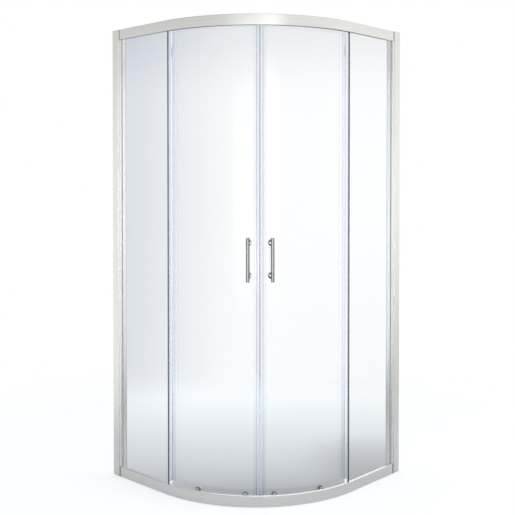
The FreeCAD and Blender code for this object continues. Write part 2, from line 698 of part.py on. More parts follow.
def wheel(radius, z):
    """Roller: a plain tyre with a recess for the axle's head and a running bore."""
    front = WHEEL_FRONT
    back = WHEEL_BACK
    seat = front + WHEEL_END_GAP + AXLE_HEAD_THICKNESS
    bore = AXLE_RADIUS + AXLE_CLEARANCE
    recess = AXLE_HEAD_RADIUS + WHEEL_END_GAP
    return spun([
        (front, recess), (front, radius), (back, radius), (back, bore), (seat, bore), (seat, recess),
    ], z)


def each_roller(make, *heights):
    """One turned piece per roller of a door, as a group of solids."""
    return Part.makeCompound([turned(make(*heights), angle) for angle in ROLLER_ANGLES])


# ---- handles ----

def handle_post(z):
    """Post from the bar to the glass, with the disc that clamps on the washer."""
    clamp = DOOR_OUTER - SEAT_GAP - WASHER_THICKNESS
    bolt_end = DOOR_INNER + SEAT_GAP
    start = BAR_DEPTH + HANDLE_RADIUS - POST_SINK
    return spun([
        (start, 0), (start, POST_RADIUS), (clamp - POST_DISC_THICKNESS, POST_RADIUS),
        (clamp - POST_DISC_THICKNESS, POST_DISC_RADIUS - HANDLE_END_BEVEL),
        (clamp - POST_DISC_THICKNESS + HANDLE_END_BEVEL, POST_DISC_RADIUS), (clamp, POST_DISC_RADIUS),
        (clamp, BOLT_RADIUS), (bolt_end, BOLT_RADIUS), (bolt_end, 0),
    ], z)


def handle_posts():
    """Both posts of a door's handle."""
    return Part.makeCompound([turned(handle_post(z), HANDLE_ANGLE) for z in POST_HEIGHTS])


def handle_bar():
    """Round upright bar with bevelled ends, seated on its two posts."""
    low = HANDLE_HEIGHT - HANDLE_LENGTH / 2
    bar = Part.makeCylinder(HANDLE_RADIUS, HANDLE_LENGTH, spot(STRAIGHT, BAR_DEPTH, low))
    ends = [edge for edge in bar.Edges if edge.isClosed()]
    bar = bar.makeChamfer(HANDLE_END_BEVEL, ends)
    return turned(bar.cut([handle_post(z) for z in POST_HEIGHTS]), HANDLE_ANGLE)


def handle_washer(z):
    """Clear washer between a post's disc and the glass."""
    face = DOOR_OUTER - SEAT_GAP
    bore = BOLT_RADIUS + AXLE_CLEARANCE
    return spun([
        (face - WASHER_THICKNESS, bore), (face - WASHER_THICKNESS, WASHER_RADIUS),
        (face, WASHER_RADIUS), (face, bore),
    ], z)


def inner_cap(z):
    """Round cap on the inside of the door that takes a post's bolt."""
    face = DOOR_INNER + SEAT_GAP
    return spun([
        (face, 0), (face, INNER_CAP_RADIUS), (face + INNER_CAP_HEIGHT - NUT_BEVEL, INNER_CAP_RADIUS),
        (face + INNER_CAP_HEIGHT, INNER_CAP_RADIUS - NUT_BEVEL), (face + INNER_CAP_HEIGHT, 0),
    ], z)


# ---- travel stop ----

def travel_stop():
    """Block on the upper track that the trailing wheel meets when the door is fully open."""
    wheel_depth = (WHEEL_FRONT + WHEEL_BACK) / 2
    rolled = math.radians(TRAILING_ROLLER_ANGLE) * (BEND_RADIUS - wheel_depth)
    wheel_at = STRAIGHT + rolled - DOOR_TRAVEL
    face = wheel_at - UPPER_WHEEL_RADIUS - STOP_WHEEL_GAP
    front = TRACK_START
    back = LIP_START - STOP_SIDE_GAP
    return block(face - STOP_LENGTH, face, front, back, UPPER_LEDGE_TOP, UPPER_LEDGE_TOP + STOP_HEIGHT)


def build():
    """Write every piece of the enclosure."""
    os.makedirs("parts", exist_ok=True)

    save("top_rail", rail(top_rail_corners(), [top_rail_hollow()]))
    save("bottom_rail", rail(bottom_rail_corners(), bottom_rail_hollows()))
    save_pair("upper_corner_block", corner_block(top_rail_corners(), [top_rail_hollow()]))
    save_pair("lower_corner_block", corner_block(bottom_rail_corners(), bottom_rail_hollows()))

    save_pair("wall_profile", wall_profile())
    save_pair("jamb_profile", jamb_profile())
    save_pair("jamb_screws", jamb_screws())
    save_pair("screw_caps", screw_caps())

    save_pair("fixed_glass", fixed_glass())
    save_pair("jamb_gasket", jamb_gasket())
    head_low = TOP_RAIL_BASE
    save_pair("head_gasket", rail_gasket(head_low, head_low + TOP_POCKET_DEPTH, "top"))
    save_pair("sill_gasket", rail_gasket(BOTTOM_POCKET_FLOOR, BOTTOM_POCKET_LEG_TOP, "bottom"))
    save_pair("fixed_pane_seal", fixed_pane_seal())
    save_pair("travel_stop", travel_stop())

    save_pair("door_glass", door_glass())
    save_pair("door_magnetic_seal", magnetic_seal())
    save_pair("door_trailing_seal", trailing_seal())
    save_pair("door_wiper_seal", wiper_seal())
    save_pair("upper_roller_mounts", each_roller(upper_roller_mount))
    save_pair("lower_roller_mounts", each_roller(lower_roller_mount))
    save_pair("upper_roller_nuts", each_roller(roller_nut, UPPER_WHEEL_HEIGHT))
    save_pair("lower_roller_nuts", each_roller(roller_nut, LOWER_WHEEL_HEIGHT))
    for place, angle in (("trailing", TRAILING_ROLLER_ANGLE), ("leading", LEADING_ROLLER_ANGLE)):
        upper = wheel(UPPER_WHEEL_RADIUS, UPPER_WHEEL_HEIGHT)
        lower = wheel(LOWER_WHEEL_RADIUS, LOWER_WHEEL_HEIGHT)
        save_pair("upper_" + place + "_wheel", turned(upper, angle))
        save_pair("lower_" + place + "_wheel", turned(lower, angle))

    save_pair("handle_bar", handle_bar())
    save_pair("handle_posts", handle_posts())
    save_pair("handle_washers", Part.makeCompound([turned(handle_washer(z), HANDLE_ANGLE) for z in POST_HEIGHTS]))
    save_pair("handle_inner_caps", Part.makeCompound([turned(inner_cap(z), HANDLE_ANGLE) for z in POST_HEIGHTS]))


build()
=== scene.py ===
import math

import bpy
import numpy as np
from mathutils import Matrix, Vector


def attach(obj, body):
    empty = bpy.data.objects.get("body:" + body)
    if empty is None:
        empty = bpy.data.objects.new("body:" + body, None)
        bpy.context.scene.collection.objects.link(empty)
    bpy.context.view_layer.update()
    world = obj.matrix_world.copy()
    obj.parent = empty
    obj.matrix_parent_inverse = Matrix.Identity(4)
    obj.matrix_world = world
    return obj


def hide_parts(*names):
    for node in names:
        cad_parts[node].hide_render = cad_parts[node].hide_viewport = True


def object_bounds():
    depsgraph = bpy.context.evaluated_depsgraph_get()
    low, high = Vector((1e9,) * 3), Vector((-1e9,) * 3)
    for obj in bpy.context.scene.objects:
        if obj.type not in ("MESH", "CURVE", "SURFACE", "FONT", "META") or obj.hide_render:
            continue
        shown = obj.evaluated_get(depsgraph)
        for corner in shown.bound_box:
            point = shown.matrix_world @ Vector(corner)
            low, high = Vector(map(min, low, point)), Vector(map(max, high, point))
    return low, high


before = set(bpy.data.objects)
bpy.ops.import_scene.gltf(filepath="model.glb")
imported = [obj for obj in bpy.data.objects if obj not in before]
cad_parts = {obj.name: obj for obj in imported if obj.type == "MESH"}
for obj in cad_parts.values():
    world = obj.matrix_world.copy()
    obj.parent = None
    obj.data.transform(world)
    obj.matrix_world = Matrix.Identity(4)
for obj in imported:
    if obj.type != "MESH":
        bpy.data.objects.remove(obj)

bl_info = {
    "name": "Quadrant Shower Enclosure",
    "version": (1, 0, 0),
    "blender": (4, 5, 0),
    "location": "View3D > Sidebar > Enclosure",
    "description": "Finishes and stages a corner shower enclosure with two curved sliding doors",
    "category": "Object",
}

# Metres. Three coordinates place every piece of the left half, and the right half is its mirror image:
#   u  distance from the left wall, along the fixed pane
#   t  depth from the enclosure's outer face, towards its inside
#   z  height above the shower tray
CAD_BOX = [list(corner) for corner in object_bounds()]
MM = 0.001
WIDTH = CAD_BOX[1][0] - CAD_BOX[0][0]
HEIGHT = CAD_BOX[1][2]
HALF = WIDTH / 2
BEND_RADIUS = 538 * MM
STRAIGHT = WIDTH - BEND_RADIUS
SIDES = ("left", "right")

# glass and its pockets
PANE_OUTER = 10 * MM
PANE_INNER = 15 * MM
POCKET_OUTER = 9 * MM
POCKET_INNER = 16 * MM
PANE_EDGE = STRAIGHT + 14 * MM          # free edge of a fixed pane
DOOR_OUTER = 38.5 * MM
DOOR_INNER = 43.5 * MM
DOOR_RADIUS = BEND_RADIUS - DOOR_OUTER
DOOR_BOTTOM = 20 * MM
MEETING_ANGLE = 45.0
TAIL_ANGLE = math.degrees(3.5 * MM / DOOR_RADIUS)

# rails
RAIL_START = 48.5 * MM
RAIL_WALL = 1.6 * MM
TOP_BASE = HEIGHT - 42 * MM
TOP_POCKET_DEPTH = 13 * MM
TOP_LEDGE = TOP_BASE + 8 * MM
TOP_WEB_DEPTH = 36 * MM
BOTTOM_HEIGHT = 42.5 * MM
POCKET_FLOOR = 25.5 * MM
POCKET_LEG_TOP = 40 * MM
BOTTOM_LEDGE = 27.2 * MM
FOOT_DEPTH = 46 * MM
FOOT_UPSTAND = 7 * MM
TRACK_START = 17.4 * MM
LIP_START = 32.4 * MM
TRACK_END = 33.8 * MM
LIP_HEIGHT = 3 * MM
FACE_EDGE = 2.2 * MM                    # rounding of the long edge that shows

# seals
SEAL_WALL = 1.2 * MM
SEAL_LOW = BOTTOM_HEIGHT + 0.4 * MM
SEAL_HIGH = TOP_BASE - 0.4 * MM
MEETING_LOW = 21.65 * MM
MEETING_HIGH = TOP_LEDGE
CHAMBER_WIDTH = 12 * MM
CHAMBER_GAP = 0.2 * MM                  # meeting line to a chamber
CHAMBER_END = CHAMBER_GAP + CHAMBER_WIDTH
CHAMBER_FRONT = 35 * MM
CHAMBER_BACK = 47 * MM
MEETING_GRIP = 12 * MM
CORNER_FIN = 1.6 * MM
MAGNET_INSET = 0.5 * MM
MAGNET_WIDTH = 5 * MM
TAIL_GRIP = 16 * MM
TAIL_HEEL = 3 * MM
TAIL_FIN = 12 * MM
EDGE_GRIP = 4 * MM
SPINE_START = 11.5 * MM
EDGE_FIN_END = 33 * MM
EDGE_FIN_LOW = 48.8 * MM                # the fin passes over the lower roller housings
WIPER_BOTTOM = 9.5 * MM
WIPER_LEG = 5 * MM
GASKET_START = 40 * MM
GASKET_END = 51.4 * MM

# rollers
ROLLERS = (("trailing", 16.0), ("leading", 38.5))
UPPER_WHEEL_HEIGHT = TOP_LEDGE + RAIL_WALL + 10.3 * MM
LOWER_WHEEL_HEIGHT = BOTTOM_LEDGE + 9.3 * MM
UPPER_WHEEL_RADIUS = 10 * MM
LOWER_WHEEL_RADIUS = 9 * MM
WHEEL_FRONT = 22.9 * MM
WHEEL_BACK = 26.9 * MM
AXLE_RADIUS = 2.5 * MM
HEAD_RADIUS = 4 * MM
HUB_START = 27.2 * MM
HUB_RADIUS = 5.2 * MM
MOUNT_FACE = DOOR_OUTER - 0.2 * MM      # flat faces stand this far off the curved glass
SHOULDER = DOOR_INNER + 0.2 * MM
STEM_RADIUS = 5 * MM
STUD_RADIUS = 3 * MM
STUD_END = SHOULDER + 4.6 * MM
FLANGE_RADIUS = 6.9 * MM
FLANGE_THICKNESS = 2.4 * MM
DOME_RADIUS = 11.5 * MM
DOME_FRONT = MOUNT_FACE - 9.2 * MM
DOME_FLAT = BOTTOM_LEDGE + LIP_HEIGHT + 0.9 * MM
NUT_RADIUS = 9 * MM
NUT_HEIGHT = 7 * MM
NUT_CROWN = 2.6 * MM

# handles
HANDLE_ANGLE = MEETING_ANGLE - math.degrees(44 * MM / DOOR_RADIUS)
HANDLE_HEIGHT = 956 * MM
BAR_DEPTH = DOOR_OUTER - 45 * MM
POST_HEIGHTS = (HANDLE_HEIGHT - 64 * MM, HANDLE_HEIGHT + 64 * MM)
POST_RADIUS = 5 * MM
DISC_THICKNESS = 4 * MM
WASHER_FACE = MOUNT_FACE - 1.6 * MM
WASHER_RADIUS = 11.5 * MM
BOLT_RADIUS = 4 * MM
INNER_CAP_HEIGHT = 8 * MM
INNER_CAP_CROWN = 3.6 * MM

# jamb screws, their caps, and the travel stops
PROFILE_DEPTH = 46 * MM
SCREW_AT = 28 * MM
SCREW_HEIGHTS = (300 * MM, HEIGHT / 2, HEIGHT - 300 * MM)
CAP_RADIUS = 5.6 * MM
CAP_HEIGHT = 3.6 * MM
STOP_BOX = ((183.3 * MM, 17.6 * MM), (197.2 * MM, 32.0 * MM))
STOP_LOW = TOP_LEDGE + RAIL_WALL
STOP_HEIGHT = 16 * MM
STOP_ROUNDING = 2.5 * MM

# steps of a rounded corner: a seal's, an ordinary one, a turned piece's, a mount's and a crown's
SEAL_ARC, PLAIN_ARC, TURNED_ARC, MOUNT_ARC, CROWN_ARC = 3, 4, 5, 6, 10
POLE = 0.15 * MM                        # a turned piece closes with a flat of this radius on its axis
CREASE = 40.0                           # degrees from which an edge stays sharp
EDGE_SHARE = 0.45                       # most of a short edge that one rounding takes up
NEARLY_UPRIGHT = 0.9
TINY = 1e-9

# glass and clear plastic: roughness range, index, (scale, strength, depth) of a slow wave, the film's scales
GLASS = {"rough": (0.0, 0.012), "index": 1.5, "wave": (2.2, 0.05, 0.6 * MM), "grain": (3.0, 90.0)}
SOFT_PLASTIC = {"rough": (0.06, 0.14), "index": 1.16, "wave": (40.0, 0.05, 0.3 * MM), "grain": (40.0, 500.0)}
WASHER_PLASTIC = {"rough": (0.2, 0.35), "index": 1.45, "wave": (40.0, 0.1, 0.3 * MM), "grain": (40.0, 500.0)}

# scale of the drawn lines by axis: slow along the extrusion and fine across it
ALONG_RAIL = (3.0, 3.0, 1100.0)
ALONG_PROFILE = (1100.0, 1100.0, 2.0)


# ---- surfaces ----

def unit(vectors):
    """Vectors divided by their lengths, along the last axis."""
    return vectors / np.linalg.norm(vectors, axis=-1, keepdims=True)


def softened(corners, radius, steps=PLAIN_ARC, closed=True):
    """An outline with rounded corners; radius is one value or one per corner.

    At each corner an arc of the radius touches both edges: its ends lie radius / tan(half angle) from the
    corner, and its points blend the two end directions about the arc's centre, by the sines of their shares
    of the sweep. The radius shrinks where an edge is short. An open outline keeps its two end points.
    """
    line = np.array(corners, dtype=float)
    size = np.broadcast_to(radius, len(line)).astype(float)
    here = line if closed else line[1:-1]
    back = np.roll(line, 1, axis=0) if closed else line[:-2]
    ahead = np.roll(line, -1, axis=0) if closed else line[2:]
    size = size if closed else size[1:-1]
    back, ahead = back - here, ahead - here
    shorter = np.minimum(np.linalg.norm(back, axis=1), np.linalg.norm(ahead, axis=1))
    back, ahead = unit(back), unit(ahead)
    half = np.arccos(np.clip((back * ahead).sum(1), -1, 1)) / 2
    reach = np.minimum(size / np.tan(half), EDGE_SHARE * shorter)
    centre = here + unit(back + ahead) * (reach / np.cos(half))[:, None]
    first = here + back * reach[:, None] - centre
    last = here + ahead * reach[:, None] - centre
    sweep = (math.pi - 2 * half)[:, None, None]
    share = np.linspace(0, 1, steps + 1)[None, :, None]
    arc = np.sin((1 - share) * sweep) * first[:, None] + np.sin(share * sweep) * last[:, None]
    arc = arc / np.sin(sweep)
    points = (centre[:, None] + arc).reshape(-1, 2)
    return points if closed else np.concatenate([line[:1], points, line[-1:]])


def profile(rows, steps=PLAIN_ARC, closed=False):
    """A profile to spin from rows of (position along the axis, radius, rounding of the corner)."""
    rows = np.array(rows)
    return softened(rows[:, :2], rows[:, 2], steps, closed)


def bend_stations(angles):
    """Points centre + R * outward on the outer face, at degrees round the bend, and the inward directions."""
    angle = np.radians(np.atleast_1d(np.asarray(angles, dtype=float)))
    outward = np.stack([np.sin(angle), -np.cos(angle)], axis=-1)
    axis = np.array([STRAIGHT - HALF, HALF - STRAIGHT])
    return axis + BEND_RADIUS * outward, -outward


def rail_stations(steps):
    """Stations of a whole rail: its left end, the bend in equal steps of angle, and its right end."""
    bend, bend_in = bend_stations(np.linspace(0, 90, steps + 1))
    start, start_in = np.array([[RAIL_START - HALF, -HALF]]), np.array([[0.0, 1.0]])
    points = np.concatenate([start, bend, -start[:, ::-1]])
    return points, np.concatenate([start_in, bend_in, -start_in[:, ::-1]])


def carried(outline, points, inward):
    """An outline of (t, z) carried along stations: point + t * inward direction, at height z."""
    outline = np.asarray(outline)
    flat = points[:, None] + outline[None, :, :1] * inward[:, None]
    height = np.broadcast_to(outline[None, :, 1:], flat.shape[:2] + (1,))
    return np.concatenate([flat, height], axis=2)


def upright_sheets(flat, low, high):
    """Points (x, y) in plan, once at the low and once at the high level."""
    return np.stack([np.column_stack([flat, np.full(len(flat), z)]) for z in (low, high)])


def raised(outline, low, high):
    """A plan outline of (u, t) on the straight, raised from one height to another."""
    return upright_sheets(np.asarray(outline) - HALF, low, high)


def on_bend(outline, edge_angle, turn):
    """Plan points of an outline of (s, t) on the bend.

    s is an arc length on the door's outer face, from the edge angle and in the sense of turn (1 or -1). The
    angle is edge_angle + turn * degrees(s / door radius); the point is the bend's circle there, t inwards.
    """
    outline = np.asarray(outline)
    points, inward = bend_stations(edge_angle + turn * np.degrees(outline[:, 0] / DOOR_RADIUS))
    return points + outline[:, 1:] * inward


def tube(outer, inner, low, high):
    """A hollow upright tube: each ring is the wall's rectangle at one point of its outline."""
    low_out, high_out = upright_sheets(outer, low, high)
    low_in, high_in = upright_sheets(inner, low, high)
    return np.stack([low_out, high_out, high_in, low_in], axis=1)


def spun(line, centre, axis, steps):
    """A turned surface: each (a, r) of a profile becomes the circle centre + a * axis + r * (cos, sin)."""
    axis = unit(np.array(axis, dtype=float))
    across = unit(np.cross(axis, [0.0, 0.0, 1.0] if abs(axis[2]) < NEARLY_UPRIGHT else [1.0, 0.0, 0.0]))
    third = np.cross(axis, across)
    turn = np.linspace(0, 2 * math.pi, steps, endpoint=False)
    circle = np.cos(turn)[:, None] * across + np.sin(turn)[:, None] * third
    return np.array(centre) + line[:, :1, None] * axis + line[:, 1:, None] * circle[None]


def spun_inward(line, angle, z, steps):
    """A turned piece on the door: a (t, r) profile spun about the inward line at an angle and a height."""
    point, inward = bend_stations(angle)
    return spun(line, (*point[0], z), (*inward[0], 0.0), steps)


def levelled(grid, height, flat):
    """Cut a turned grid flat: a point below the flat moves up its radius, by (height - flat) / its drop."""
    middle = grid.mean(axis=1, keepdims=True)
    drop = np.maximum(height - grid[..., 2:], TINY)
    share = np.minimum(1.0, (height - flat) / drop)
    return middle + (grid - middle) * share


def mirrored(grid):
    """The right-hand copy of a left-hand surface: x and y change places and signs."""
    return np.stack([-grid[..., 1], -grid[..., 0], grid[..., 2]], axis=-1)


def outward_quads(grid, wrapped):
    """Faces of a grid of closed rings, with flat ends or joined end to end, turned to face outwards.

    The volume under the faces, a sixth of the sum of triple products of their triangles, is positive when
    they face outwards. Otherwise every face is reversed.
    """
    rings, count = grid.shape[:2]
    ring = np.arange(rings if wrapped else rings - 1)[:, None]
    spot = np.arange(count)[None, :]
    next_ring = (ring + 1) % rings
    next_spot = (spot + 1) % count
    quads = np.stack([
        ring * count + spot, ring * count + next_spot,
        next_ring * count + next_spot, next_ring * count + spot,
    ], axis=2).reshape(-1, 4)
    points = grid.reshape(-1, 3) - grid.reshape(-1, 3).mean(0)
    corner = points[quads]
    volume = (np.cross(corner[:, 1], corner[:, 2]) * corner[:, 0]).sum()
    volume += (np.cross(corner[:, 2], corner[:, 3]) * corner[:, 0]).sum()
    faces = quads.tolist()
    if not wrapped:
        ends = [np.arange(count)[::-1], (rings - 1) * count + np.arange(count)]
        for end in ends:
            fan = points[end]
            volume += (np.cross(fan[1:-1], fan[2:]) * fan[0]).sum()
        faces += [end.tolist() for end in ends]
    if volume < 0:
        faces = [face[::-1] for face in faces]
    return faces


def mesh_object(name, points, faces, material):
    """An object at the origin, with a mesh in one material."""
    mesh = bpy.data.meshes.new(name)
    mesh.from_pydata(points, [], faces)
    mesh.materials.append(material)
    obj = bpy.data.objects.new(name, mesh)
    bpy.context.scene.collection.objects.link(obj)
    return obj


def piece(name, grids, material, body, slot, replaces=(), wrapped=False):
    """One object from one or more grids of rings, smooth apart from its creases, riding on a body."""
    points, faces, base = [], [], 0
    for grid in grids:
        faces += [[base + index for index in face] for face in outward_quads(grid, wrapped)]
        points.append(grid.reshape(-1, 3))
        base += points[-1].shape[0]
    obj = mesh_object(name, np.concatenate(points), faces, material)
    obj.data.polygons.foreach_set("use_smooth", np.ones(len(faces), dtype=bool))
    obj.data.set_sharp_from_angle(angle=math.radians(CREASE))
    obj.data.update()
    even = obj.modifiers.new("Even shading", "WEIGHTED_NORMAL")
    even.keep_sharp = True
    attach(obj, body)
    if replaces:
        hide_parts(*replaces)
    return obj


def piece_pair(name, grids, material, body, slot, replaces=(), **options):
    """A left-hand piece and its mirror image; nodes and moving bodies get the name of their side."""
    for side in SIDES:
        own = [mirrored(grid) for grid in grids] if side == "right" else grids
        place = body if body == "frame" else side + "_" + body
        nodes = [side + "_" + node for node in replaces]
        piece(side + "_" + name, own, material, place, slot, nodes, **options)


# ---- shader nodes ----

def feed(tree, node, inputs):
    """Give a node's inputs their plain values, or a link where the value is a socket."""
    for key, value in inputs.items():
        if isinstance(value, bpy.types.NodeSocket):
            tree.links.new(value, node.inputs[key])
        else:
            node.inputs[key].default_value = value


def add_node(tree, kind, inputs, **settings):
    """A shader node with its settings and inputs."""
    node = tree.nodes.new("ShaderNode" + kind)
    for key, value in settings.items():
        setattr(node, key, value)
    feed(tree, node, inputs)
    return node


def worked(tree, operation, *values):
    """A Math node on sockets or plain numbers."""
    return add_node(tree, "Math", dict(enumerate(values)), operation=operation).outputs[0]


def blended(tree, factor, off, on):
    """A value between two, sockets or plain numbers, by a factor."""
    return add_node(tree, "Mix", {"Factor": factor, "A": off, "B": on}, data_type="FLOAT").outputs["Result"]


def tone_mix(tree, factor, off, on):
    """A colour between two, sockets or plain triples, by a factor."""
    ends = {key: (*end, 1.0) if isinstance(end, tuple) else end for key, end in (("A", off), ("B", on))}
    return add_node(tree, "Mix", {"Factor": factor, **ends}, data_type="RGBA").outputs["Result"]


def product(tree, level, *factors):
    """Sockets or plain numbers multiplied one after the other."""
    for factor in factors:
        level = worked(tree, "MULTIPLY", level, factor)
    return level


def evened(tree, source, low, high):
    """A socket's range from low to high stretched to 0 to 1, and held there beyond it."""
    return add_node(tree, "MapRange", {"Value": source, "From Min": low, "From Max": high}).outputs[0]


def value_range(tree, source, low, high):
    """A 0 to 1 socket stretched to a range."""
    return add_node(tree, "MapRange", {"Value": source, "To Min": low, "To Max": high}).outputs[0]


def ramp(tree, source, low, high, start, end):
    """A smooth step from one value to another as the source passes from low to high."""
    ends = {"Value": source, "From Min": low, "From Max": high, "To Min": start, "To Max": end}
    return add_node(tree, "MapRange", ends, interpolation_type="SMOOTHSTEP").outputs[0]


def along(tree, source, direction):
    """The length of a vector socket along a direction."""
    return add_node(tree, "VectorMath", {0: source, 1: direction}, operation="DOT_PRODUCT").outputs["Value"]


def noise(tree, where, scale, detail, roughness=0.5, distortion=0.0):
    """The level of a noise at a place."""
    inputs = {"Vector": where, "Scale": scale, "Detail": detail, "Roughness": roughness}
    return add_node(tree, "TexNoise", {**inputs, "Distortion": distortion}).outputs["Fac"]


def bumped(tree, height, strength, depth, normal=None):
    """A normal raised by a height socket, over a softened normal where one is given."""
    inputs = {"Height": height, "Strength": strength, "Distance": depth}
    return add_node(tree, "Bump", inputs if normal is None else {**inputs, "Normal": normal}).outputs[0]


def object_place(tree):
    """The surface's own place in metres."""
    return add_node(tree, "TexCoord", {}).outputs["Object"]


# ---- shader groups ----

def shader_group(name, inputs, outputs, wire):
    """A node group that is built once; wire takes its input sockets and gives the sockets of its outputs."""
    if name not in bpy.data.node_groups:
        group = bpy.data.node_groups.new(name, "ShaderNodeTree")
        for label, kind, default in inputs:
            socket = group.interface.new_socket(label, in_out="INPUT", socket_type="NodeSocket" + kind)
            if default is not None:
                socket.default_value = default
        for label, kind in outputs:
            group.interface.new_socket(label, in_out="OUTPUT", socket_type="NodeSocket" + kind)
        given = group.nodes.new("NodeGroupInput").outputs
        feed(group, group.nodes.new("NodeGroupOutput"), wire(group, given))
    return bpy.data.node_groups[name]


def line_wiring(tree, given):
    """Noise stretched into lines, as a height and as an evened tone."""
    factors = {0: given["Vector"], 1: given["Line Scale"]}
    stretched = add_node(tree, "VectorMath", factors, operation="MULTIPLY")
    fine = noise(tree, stretched.outputs[0], 1.0, 4.0, 0.62)
    return {"Height": fine, "Tone": evened(tree, fine, 0.3, 0.7)}


def drawn_lines(tree, where, scale):
    """Fine lines of a drawn and brushed extrusion: its Height and Tone sockets."""
    inputs = (("Vector", "Vector", None), ("Line Scale", "Vector", (2.0, 2.0, 900.0)))
    group = shader_group("Drawn Metal", inputs, (("Height", "Float"), ("Tone", "Float")), line_wiring)
    return add_node(tree, "Group", {"Vector": where, "Line Scale": scale}, node_tree=group).outputs


def film_wiring(tree, given):
    """Evened clouds of noise, times finer noise."""
    cloud = noise(tree, given["Vector"], given["Cloud Scale"], 5.0, 0.6, 0.4)
    specks = noise(tree, given["Vector"], given["Speck Scale"], 2.0, 0.7)
    return {"Film": product(tree, evened(tree, cloud, 0.32, 0.68), specks), "Specks": specks}


def surface_film(tree, where, clouds, specks=160.0):
    """A thin uneven film of dust and finger marks, by its clouds' and specks' scales: Film and Specks."""
    inputs = (("Vector", "Vector", None), ("Cloud Scale", "Float", 6.0), ("Speck Scale", "Float", 160.0))
    group = shader_group("Surface Film", inputs, (("Film", "Float"), ("Specks", "Float")), film_wiring)
    values = {"Vector": where, "Cloud Scale": clouds, "Speck Scale": specks}
    return add_node(tree, "Group", values, node_tree=group).outputs


def edge_wiring(tree, given):
    """The bevelled normal, and how far it leaves the true one."""
    bevel = add_node(tree, "Bevel", {"Radius": given["Radius"]}, samples=8).outputs[0]
    surface = add_node(tree, "NewGeometry", {}).outputs["Normal"]
    return {"Normal": bevel, "Mask": evened(tree, along(tree, bevel, surface), 0.995, 0.8)}


def soft_edge(tree, radius):
    """A softened normal for crisp edges and a mask where it leaves the true one: Normal and Mask."""
    outputs = (("Normal", "Vector"), ("Mask", "Float"))
    group = shader_group("Soft Edge", (("Radius", "Float", 0.5 * MM),), outputs, edge_wiring)
    return add_node(tree, "Group", {"Radius": radius}, node_tree=group).outputs


# ---- materials ----

LINE_TONES = (0.93, 1.05)               # deepest and palest drawn line, as factors of the metal's colour
PAINTED_EDGE_GLINT = (0.93, 0.93, 0.92)             # colour of the painted highlight along the edges
PAINTED_GLINT_SHARE = 0.5
METAL_CLOUDS = 4.0
FILM_IN_ROUGHNESS = 0.4                 # where the roughness stands from the lines (0) to the film (1)
CAST_EDGE = 0.3 * MM                    # softened edges of plated and moulded parts
WORN_PLATE, WORN_PLASTIC, WORN_CLEAR = (0.9,), (1.12, 0.01), (0.985,)
PLATED_FILM, MOULDED_FILM = (35.0, 700.0), (60.0, 900.0)
LINE_RELIEF, PLATED_RELIEF, MOULDED_RELIEF = (0.05, 0.2 * MM), (0.03, 0.2 * MM), (0.1, 0.1 * MM)


def shade_of(colour, factor, lift=0.0):
    """A colour times a factor plus a lift, at most 1 a channel."""
    return tuple(min(1.0, channel * factor + lift) for channel in colour)


def blank_material(name, **sockets):
    """A material with one Principled shader whose uniform values are set, its tree and that shader."""
    material = bpy.data.materials.new(name)
    material.use_nodes = True
    shader = material.node_tree.nodes["Principled BSDF"]
    for key, value in sockets.items():
        shader.inputs[key.replace("_", " ")].default_value = value
    return material, material.node_tree, shader


def drawn_metal(name, colour, scale, rough, edge=0.4 * MM):
    """Satin anodised aluminium: fine lines along the extrusion, and a painted highlight that makes the edges
    brighter.
    """
    material, tree, shader = blank_material(name, Metallic=1.0)
    where = object_place(tree)
    lines = drawn_lines(tree, where, scale)
    film = surface_film(tree, where, METAL_CLOUDS)["Film"]
    rim = soft_edge(tree, edge)
    drawn = tone_mix(tree, lines["Tone"], *(shade_of(colour, factor) for factor in LINE_TONES))
    smear = blended(tree, FILM_IN_ROUGHNESS, lines["Tone"], film)
    feed(tree, shader, {
        # painted highlight: where the bevelled normal leaves the true one, the edges take a brighter colour
        "Base Color": tone_mix(tree, product(tree, rim["Mask"], PAINTED_GLINT_SHARE), drawn, PAINTED_EDGE_GLINT),
        "Roughness": value_range(tree, smear, *rough),
        "Normal": bumped(tree, lines["Height"], *LINE_RELIEF, rim["Normal"]),
    })
    return material


def filmed(name, colour, worn, rough, scales, **sockets):
    """A material under a film: where the film is thick, the colour turns worn and the roughness rises.

    Gives the material, its tree, its shader, the film's specks and the surface's own place.
    """
    material, tree, shader = blank_material(name, **sockets)
    where = object_place(tree)
    film = surface_film(tree, where, *scales)
    feed(tree, shader, {
        "Base Color": tone_mix(tree, film["Film"], colour, worn),
        "Roughness": value_range(tree, film["Film"], *rough),
    })
    return material, tree, shader, film["Specks"], where


def finished(name, colour, wear, rough, scales, relief, **sockets):
    """A filmed material with softened edges, over which the film's specks stand up a little."""
    worn = shade_of(colour, *wear)
    material, tree, shader, specks, _ = filmed(name, colour, worn, rough, scales, **sockets)
    normal = soft_edge(tree, CAST_EDGE)["Normal"]
    feed(tree, shader, {"Normal": bumped(tree, specks, *relief, normal)})
    return material


def plated(name, colour, rough=(0.05, 0.16)):
    """Bright chrome plating with a faint film of finger marks."""
    return finished(name, colour, WORN_PLATE, rough, PLATED_FILM, PLATED_RELIEF, Metallic=1.0)


def moulded(name, colour, rough=(0.32, 0.5)):
    """Moulded plastic with a fine spark texture and slight tone clouds."""
    return finished(name, colour, WORN_PLASTIC, rough, MOULDED_FILM, MOULDED_RELIEF)


